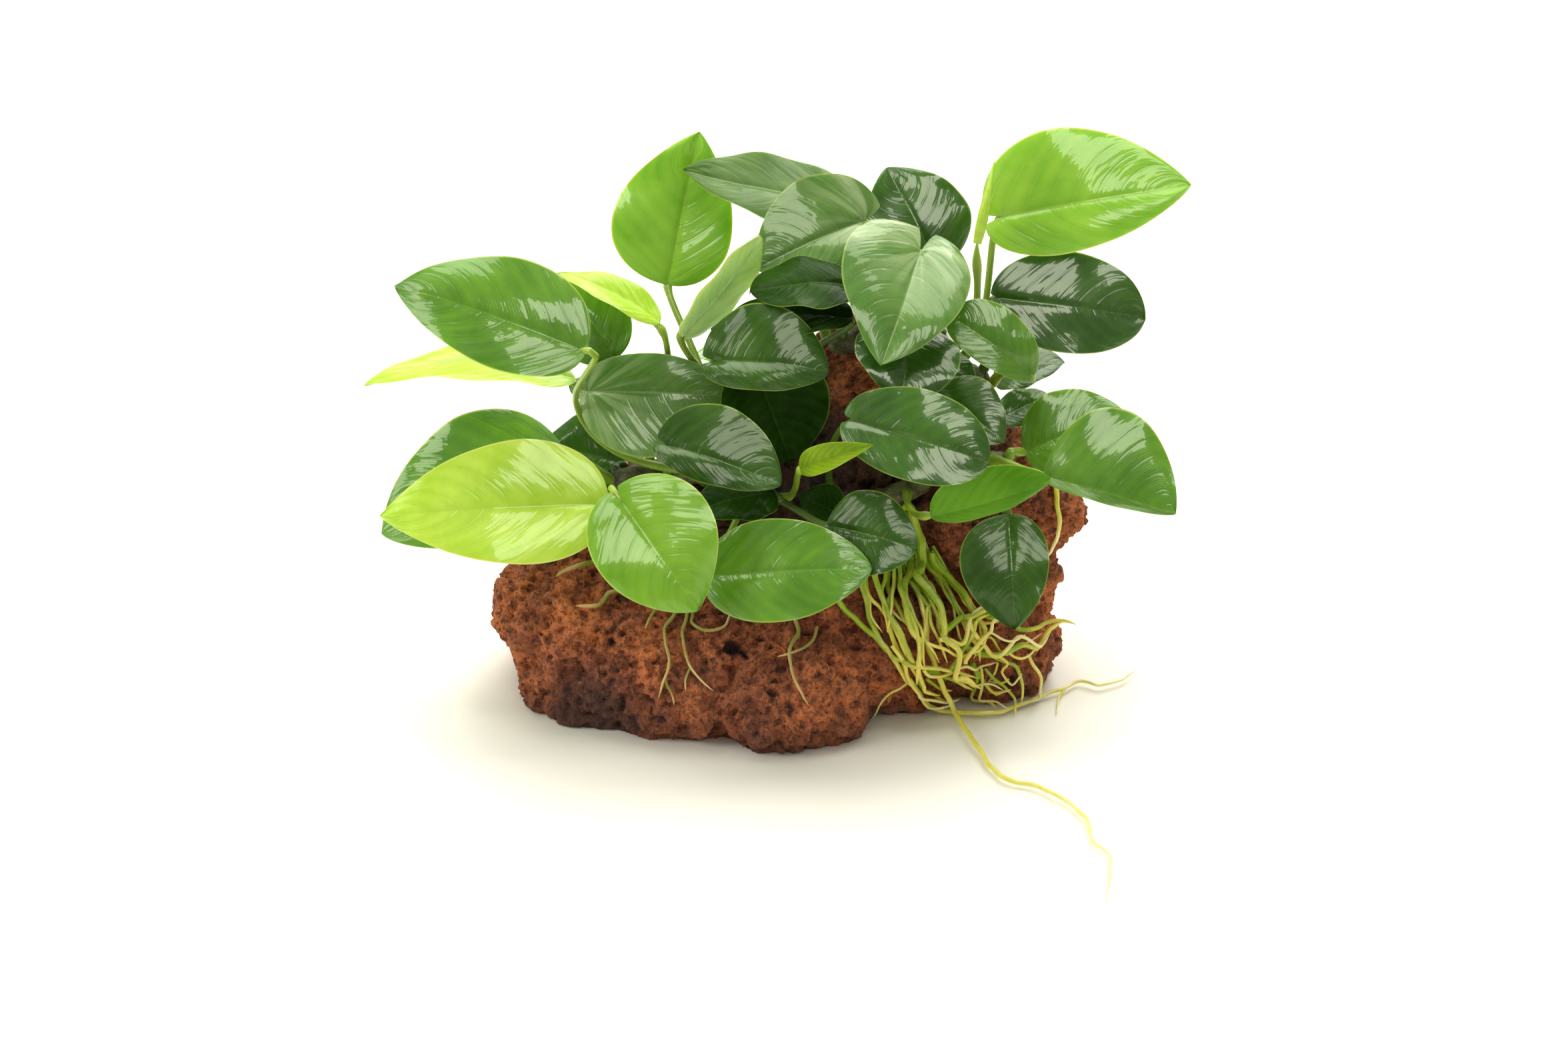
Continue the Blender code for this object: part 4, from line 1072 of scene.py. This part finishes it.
def math_of(operation, first, second=0.0):
    """The outcome of one sum on two values."""
    return add_node(first.id_data, "Math", {0: first, 1: second}, operation=operation).outputs[0]


def times(first, second):
    """The first value times the second."""
    return math_of("MULTIPLY", first, second)


def plus(first, second):
    """The first value plus the second."""
    return math_of("ADD", first, second)


def sum_of(weights):
    """The sum of some values, each times its weight."""
    return reduce(plus, [times(value, weight) for value, weight in weights])


def vector_of(operation, first, second=(0.0, 0.0, 0.0)):
    """The outcome of one sum on two vectors: a vector, and a value."""
    return add_node(first.id_data, "VectorMath", {0: first, 1: second}, operation=operation).outputs


def parts_of(vector):
    """The three parts of a vector."""
    return add_node(vector.id_data, "SeparateXYZ", {0: vector}).outputs


def ramp_of(value, low, high, to_low=0.0, to_high=1.0):
    """A value taken smoothly from one range to another."""
    inputs = {"Value": value, "From Min": low, "From Max": high, "To Min": to_low, "To Max": to_high}
    return add_node(value.id_data, "MapRange", inputs, interpolation_type="SMOOTHSTEP").outputs["Result"]


def mix_of(share, first, second):
    """Two colours mixed by a share."""
    inputs = {MIX_SHARE: share, MIX_FIRST: first, MIX_SECOND: second}
    return add_node(share.id_data, "Mix", inputs, data_type="RGBA").outputs[MIX_RESULT]


def noise_of(place, scale, detail, roughness=NOISE_ROUGHNESS):
    """Smooth noise about places."""
    inputs = {"Vector": place, "Scale": scale, "Detail": detail, "Roughness": roughness}
    return add_node(place.id_data, "TexNoise", inputs).outputs["Fac"]


def new_group(name, inputs, outputs):
    """An empty shader group with named sockets, what it is given, and its end node."""
    tree = bpy.data.node_groups.new(name, "ShaderNodeTree")
    for way, sockets in (("INPUT", inputs), ("OUTPUT", outputs)):
        for label, kind in sockets.items():
            tree.interface.new_socket(name=label, in_out=way, socket_type="NodeSocket" + kind)
    return tree, tree.nodes.new("NodeGroupInput").outputs, tree.nodes.new("NodeGroupOutput")


def blade_group():
    """The pattern of a blade's skin: clouded green, a pale midrib, swept veins and a thin pale rim."""
    inputs = {"Blade place": "Vector", "Place": "Vector", "Deep": "Color", "Light": "Color", "Vein": "Color"}
    inputs |= {"Rim": "Color", "Roughness": "Float", "Rays": "Float"}
    outputs = {"Colour": "Color", "Roughness": "Float", "Height": "Float"}
    tree, given, end = new_group("blade skin", inputs, outputs)
    across, along, _ = parts_of(given["Blade place"])
    from_midrib = math_of("SUBTRACT", across, 0.5)
    aside = times(math_of("ABSOLUTE", from_midrib), 2.0)
    swept = times(math_of("POWER", aside, VEIN_CURVE), VEIN_SWEEP)
    phase = times(math_of("SUBTRACT", along, swept), math.tau * VEIN_PAIRS)
    wave = math_of("COSINE", phase)
    veins = times(ramp_of(wave, *VEIN_RANGE), ramp_of(aside, *VEIN_FADE))
    thread = ramp_of(math_of("COSINE", times(phase, THREADS)), *THREAD_RANGE)
    midrib = ramp_of(aside, *MIDRIB_RANGE)
    rim = ramp_of(aside, *RIM_RANGE)
    cloud = noise_of(given["Place"], *BLADE_CLOUD)
    speck = noise_of(given["Place"], *BLADE_SPECK)
    streak_parts = [times(part, scale) for part, scale in zip((phase, across, cloud), STREAK_PLACE)]
    streak_place = add_node(tree, "CombineXYZ", dict(enumerate(streak_parts))).outputs[0]
    streak = noise_of(streak_place, *BLADE_STREAK)
    clouding = plus(ramp_of(cloud, *CLOUD_RANGE), times(wave, CLOUD_BY_VEINS))
    clouding = plus(clouding, times(math_of("SUBTRACT", speck, 0.5), CLOUD_BY_SPECKS))
    angle = times(math_of("ARCTAN2", from_midrib, along), RAYS)
    fan = noise_of(add_node(tree, "CombineXYZ", {0: angle, 1: cloud}).outputs[0], *BLADE_FAN)
    rays = times(ramp_of(fan, *RAY_RANGE), ramp_of(along, *RAY_FADE))
    lines = sum_of(((veins, VEIN_SHOWS), (thread, THREAD_SHOWS)))
    for shown in (times(midrib, MIDRIB_SHOWS), times(rays, given["Rays"])):
        lines = math_of("MAXIMUM", lines, shown)
    body = mix_of(lines, mix_of(clouding, given["Deep"], given["Light"]), given["Vein"])
    relief = {"veins": veins, "thread": thread, "cloud": cloud, "streak": streak, "speck": speck}
    set_inputs(end, {
        "Colour": mix_of(times(rim, RIM_SHOWS), body, given["Rim"]),
        "Roughness": plus(given["Roughness"], times(math_of("SUBTRACT", cloud, 0.5), UNEVEN_GLOSS)),
        "Height": sum_of((relief[name], weight) for name, weight in BLADE_RELIEF.items()),
    })
    return tree


def new_material(name):
    """A material, its shader and its Object coordinates."""
    material = bpy.data.materials.new(name)
    material.use_nodes = True
    tree = material.node_tree
    return material, tree.nodes["Principled BSDF"], add_node(tree, "TexCoord").outputs["Object"]


def bump_of(height, strength, distance):
    """A bump of this height."""
    inputs = {"Strength": strength, "Distance": distance, "Height": height}
    return add_node(height.id_data, "Bump", inputs).outputs["Normal"]


def along_of(tree):
    """How far along its stalk or its root a place is."""
    return parts_of(add_node(tree, "UVMap").outputs["UV"])[1]


def blade_material(name, look, group, under):
    """The skin of a blade. The under side is paler and duller."""
    material, shader, place = new_material(name)
    tree = material.node_tree
    node = add_node(tree, "Group", node_tree=group)
    pale = UNDER_PALE if under else 0.0
    for label, colour in (("Deep", look.deep), ("Light", look.light), ("Vein", look.vein), ("Rim", look.rim)):
        mixed = [value + (target - value) * pale for value, target in zip(colour, UNDER_COLOUR)]
        node.inputs[label].default_value = on_screen(mixed)
    set_inputs(node, {
        "Blade place": add_node(tree, "UVMap").outputs["UV"], "Place": place, "Rays": look.rays,
        "Roughness": look.roughness + (UNDER_ROUGHNESS if under else 0.0),
    })
    gloss = look.gloss * (UNDER_GLOSS if under else 1.0)
    set_inputs(shader, {
        "Base Color": node.outputs["Colour"], "Roughness": node.outputs["Roughness"],
        "Subsurface Weight": look.through, "Specular IOR Level": SPECULAR_LEVEL * gloss,
        "Coat Weight": COAT_WEIGHT * gloss, "Normal": bump_of(node.outputs["Height"], *BLADE_BUMP),
    })
    set_inputs(shader, BLADE_SKIN)
    return material


def stalk_material(name, foot, top):
    """Stalks: greener near the foot and paler towards the blade."""
    material, shader, place = new_material(name)
    cloud = noise_of(place, *STALK_CLOUD)
    share = sum_of(((along_of(material.node_tree), STALK_BY_LENGTH), (cloud, STALK_BY_CLOUD)))
    bump = bump_of(noise_of(place, *STALK_GRAIN), *STALK_BUMP)
    set_inputs(shader, {"Base Color": mix_of(share, on_screen(foot), on_screen(top)), "Normal": bump})
    set_inputs(shader, STALK_SKIN)
    return material


def rhizome_material():
    """Rhizomes: olive green skin, brown in its dips, with corky flecks."""
    material, shader, place = new_material("rhizome_skin")
    raised = ramp_of(noise_of(place, *RHIZOME_CLOUD), *RHIZOME_RANGE)
    body = mix_of(raised, *[on_screen(colour) for colour in RHIZOME_COLOURS])
    flecks = noise_of(place, *RHIZOME_FLECKS)
    body = mix_of(ramp_of(flecks, *CORK_RANGE), body, on_screen(CORK_COLOUR))
    set_inputs(shader, {"Base Color": body, "Normal": bump_of(flecks, *RHIZOME_BUMP)})
    set_inputs(shader, RHIZOME_SKIN)
    return material


def root_material(name, fresh, pale, start):
    """Roots: fresh green or yellow where they leave the rhizome, and pale towards their tips."""
    material, shader, place = new_material("root_" + name)
    drift = times(math_of("SUBTRACT", noise_of(place, *ROOT_CLOUD), 0.5), ROOT_CLOUDING)
    share = plus(ramp_of(along_of(material.node_tree), start, 1.0), drift)
    fine = noise_of(place, *ROOT_GRAIN)
    colour = mix_of(share, on_screen(fresh), on_screen(pale))
    colour = mix_of(ramp_of(fine, *FLECK_RANGE), colour, on_screen(FLECK_COLOUR))
    set_inputs(shader, {"Base Color": colour, "Normal": bump_of(fine, *ROOT_BUMP)})
    set_inputs(shader, ROOT_SKIN)
    return material


def pitted_group():
    """Small pits of a porous skin: how deep into a pit each place is, for one size of pit."""
    inputs = {"Place": "Vector", "Pits per metre": "Float", "Share": "Float"}
    tree, given, end = new_group("pitted skin", inputs, {"Pit": "Float"})
    drift = {"Vector": given["Place"], "Scale": PIT_DRIFT_PITCH, "Detail": PIT_DRIFT_DETAIL}
    bent = vector_of("MULTIPLY", add_node(tree, "TexNoise", drift).outputs["Color"], PIT_DRIFT)[0]
    placed = vector_of("ADD", given["Place"], bent)[0]
    cells = add_node(tree, "TexVoronoi", {"Vector": placed, "Scale": given["Pits per metre"]}).outputs
    luck = add_node(tree, "SeparateColor", {0: cells["Color"]}).outputs[0]
    chosen = math_of("LESS_THAN", luck, given["Share"])
    set_inputs(end, {"Pit": times(ramp_of(cells["Distance"], *PIT_RANGE), chosen)})
    return tree


def stone_material():
    """Lava stone: rust red and brown grains, with painted shade in its pores and pits, under the plant and
    along its foot, and a charcoal patch low on the left.
    """
    material, shader, place = new_material("lava_stone_skin")
    tree = material.node_tree
    group = pitted_group()
    middle = noise_of(place, *STONE_MIDDLE)
    # How far each place is from the middle of the painted shade under the plant, in its radii
    from_shade_middle = vector_of("DIVIDE", vector_of("SUBTRACT", place, PLANT_SHADE_MIDDLE)[0], PLANT_SHADE_RADII)[0]
    masks = {
        "middle": middle,
        "grain": noise_of(place, *STONE_GRAIN),
        "dust": noise_of(place, *STONE_DUST),
        "charred": plus(vector_of("DISTANCE", place, CHAR_MIDDLE)["Value"], times(middle, CHAR_RAGGED)),
        # Painted shade under the plant, between the rhizomes
        "under_plant_shade": plus(vector_of("LENGTH", from_shade_middle)["Value"], times(middle, PLANT_SHADE_RAGGED)),
        # Painted shade along the foot, darker towards the floor
        "foot_shade": math_of("SUBTRACT", times(middle, FOOT_SHADE_RAGGED), parts_of(place)[2]),
    }
    wavering = ramp_of(noise_of(place, *STONE_BROAD), *STONE_BODY_RANGE)
    body = mix_of(wavering, *[on_screen(colour) for colour in STONE_BODY])
    for layer in STONE_LAYERS:
        cover = ramp_of(masks[layer.mask], layer.start, layer.full, 0.0, layer.cover)
        body = mix_of(cover, body, on_screen(layer.colour))
    relief = [(masks[name], weight) for name, weight in STONE_RELIEF.items()]
    for pits in PITS:
        inputs = {"Place": place, "Pits per metre": pits.per_metre, "Share": pits.share}
        pit = add_node(tree, "Group", inputs, node_tree=group).outputs["Pit"]
        # Painted shade in each pit
        body = mix_of(times(pit, pits.dark), body, on_screen(pits.colour))
        relief.append((pit, pits.sink))
    # Painted shade in the pores, by their depth
    pore = add_node(tree, "Attribute", attribute_name="pit").outputs["Fac"]
    body = mix_of(ramp_of(pore, *PORE_SHADE_RANGE), body, on_screen(PORE_SHADE_COLOUR))
    set_inputs(shader, {"Base Color": body, "Normal": bump_of(sum_of(relief), *STONE_BUMP)})
    set_inputs(shader, STONE_SKIN)
    return material


def floor_material():
    """The plain pale floor, which glows faintly far out, where the lamps don't reach."""
    material, shader, place = new_material("pale_floor")
    pale = mix_of(noise_of(place, *FLOOR_CLOUD), *[on_screen(colour) for colour in FLOOR_COLOURS])
    far_out = ramp_of(vector_of("LENGTH", place)["Value"], *GLOW_RANGE)
    glow = mix_of(far_out, on_screen(BLACK), on_screen(GLOW_COLOUR))
    set_inputs(shader, {"Base Color": pale, "Emission Color": glow})
    set_inputs(shader, FLOOR_SKIN)
    return material


def facing(direction):
    """The turn that points a lamp or a camera in a direction, the right way up."""
    return direction.to_track_quat("-Z", "Y").to_euler()


def set_stage():
    """The floor, the soft lamps, the pale surroundings and the camera."""
    bm = bmesh.new()
    bmesh.ops.create_grid(bm, x_segments=1, y_segments=1, size=FLOOR_SIZE / 2)
    floor = add_object("floor", mesh_of("floor", bm))
    floor.data.materials.append(floor_material())

    for lamp in LAMPS:
        data = bpy.data.lights.new(lamp.name, "AREA")
        data.shape = "RECTANGLE"
        data.size = lamp.width
        data.size_y = lamp.height
        data.energy = lamp.power
        data.color = LAMP_COLOUR
        placed = add_object(lamp.name, data)
        placed.location = lamp.place
        placed.visible_diffuse = lamp.lights
        placed.rotation_euler = facing(LAMP_AIM - Vector(lamp.place))

    world = bpy.data.worlds.new("pale_surroundings")
    world.use_nodes = True
    tree = world.node_tree
    lit = tree.nodes["Background"]
    set_inputs(lit, {"Color": on_screen(SKY_COLOUR), "Strength": SKY_STRENGTH})
    seen = add_node(tree, "Background", {"Color": on_screen(WHITE), "Strength": 1.0})
    direct = add_node(tree, "LightPath").outputs["Is Camera Ray"]
    both = add_node(tree, "MixShader", {0: direct, 1: lit.outputs[0], 2: seen.outputs[0]})
    set_inputs(tree.nodes["World Output"], {"Surface": both.outputs[0]})
    bpy.context.scene.world = world

    view = bpy.data.cameras.new("viewer")
    view.sensor_width = SENSOR_WIDTH
    view.lens = SENSOR_WIDTH * SIGHT_DISTANCE / PICTURE_WIDTH
    view.clip_start = NEAREST_SEEN
    camera = add_object("viewer", view)
    camera.location = EYE * MM
    camera.rotation_euler = facing(-TOWARD)
    bpy.context.scene.camera = camera
    bpy.context.scene.view_settings.view_transform = "Standard"


def dress():
    """The whole plant on its stone."""
    solid = solid_stone()
    stone_tree = BVHTree.FromBMesh(solid)
    solid.free()
    holes = [(on_stone(stone_tree, across, up, 0.0), radius, depth) for across, up, radius, depth in HOLES]
    stone_piece(stone_material(), holes)

    rhizomes = {}
    skin = rhizome_material()
    for name, (radius, places) in RHIZOMES.items():
        clearance = radius + GAP + GAP
        laid = [seated(sighted(*place), stone_tree, clearance) for place in places]
        route = kept_clear(smooth_route(laid, RHIZOME_SPACING), stone_tree, clearance)
        rhizomes[name] = (route, radius)
        rhizome_piece("rhizome_" + name, radius, route, skin)

    group = blade_group()
    stalks = {name: stalk_material("stalk_" + name, *colours) for name, colours in STALKS.items()}
    skins = {}
    for slot, looks in LOOKS.items():
        for name, row in looks.items():
            upper = blade_material("blade_" + name, Look(*row), group, False)
            lower = blade_material("blade_" + name + "_under", Look(*row), group, True)
            stalk = stalks["dark" if name in DARK_STALKED else "bright"]
            skins[name] = (slot, (upper, lower, stalk))
    for row in LEAVES:
        leaf = Leaf(*row)
        leaf_piece(leaf, rhizomes[leaf.rhizome], stone_tree, *skins[leaf.look])

    colours = {name: root_material(name, *row) for name, row in ROOT_COLOURS.items()}
    bundles = [f"root_bundle_{k}" for k in range(1, BUNDLES + 1)]
    root_piece("root_mat", [*MAT_STRANDS, *mat_fill()], stone_tree, colours["green"], bundles)
    root_piece("roots_crossing", CROSSING, stone_tree, colours["pale"])
    for name, row in ROOTS.items():
        colour = colours["creeping" if "front" in name else "cream"]
        root_piece("anubias_" + name, [row], stone_tree, colour, [name])
    root_piece("rootlets_pale", PALE_ROOTLETS, stone_tree, colours["cream"])
    root_piece("rootlets_creeping", CREEPING_ROOTLETS, stone_tree, colours["creeping"])


dress()
set_stage()
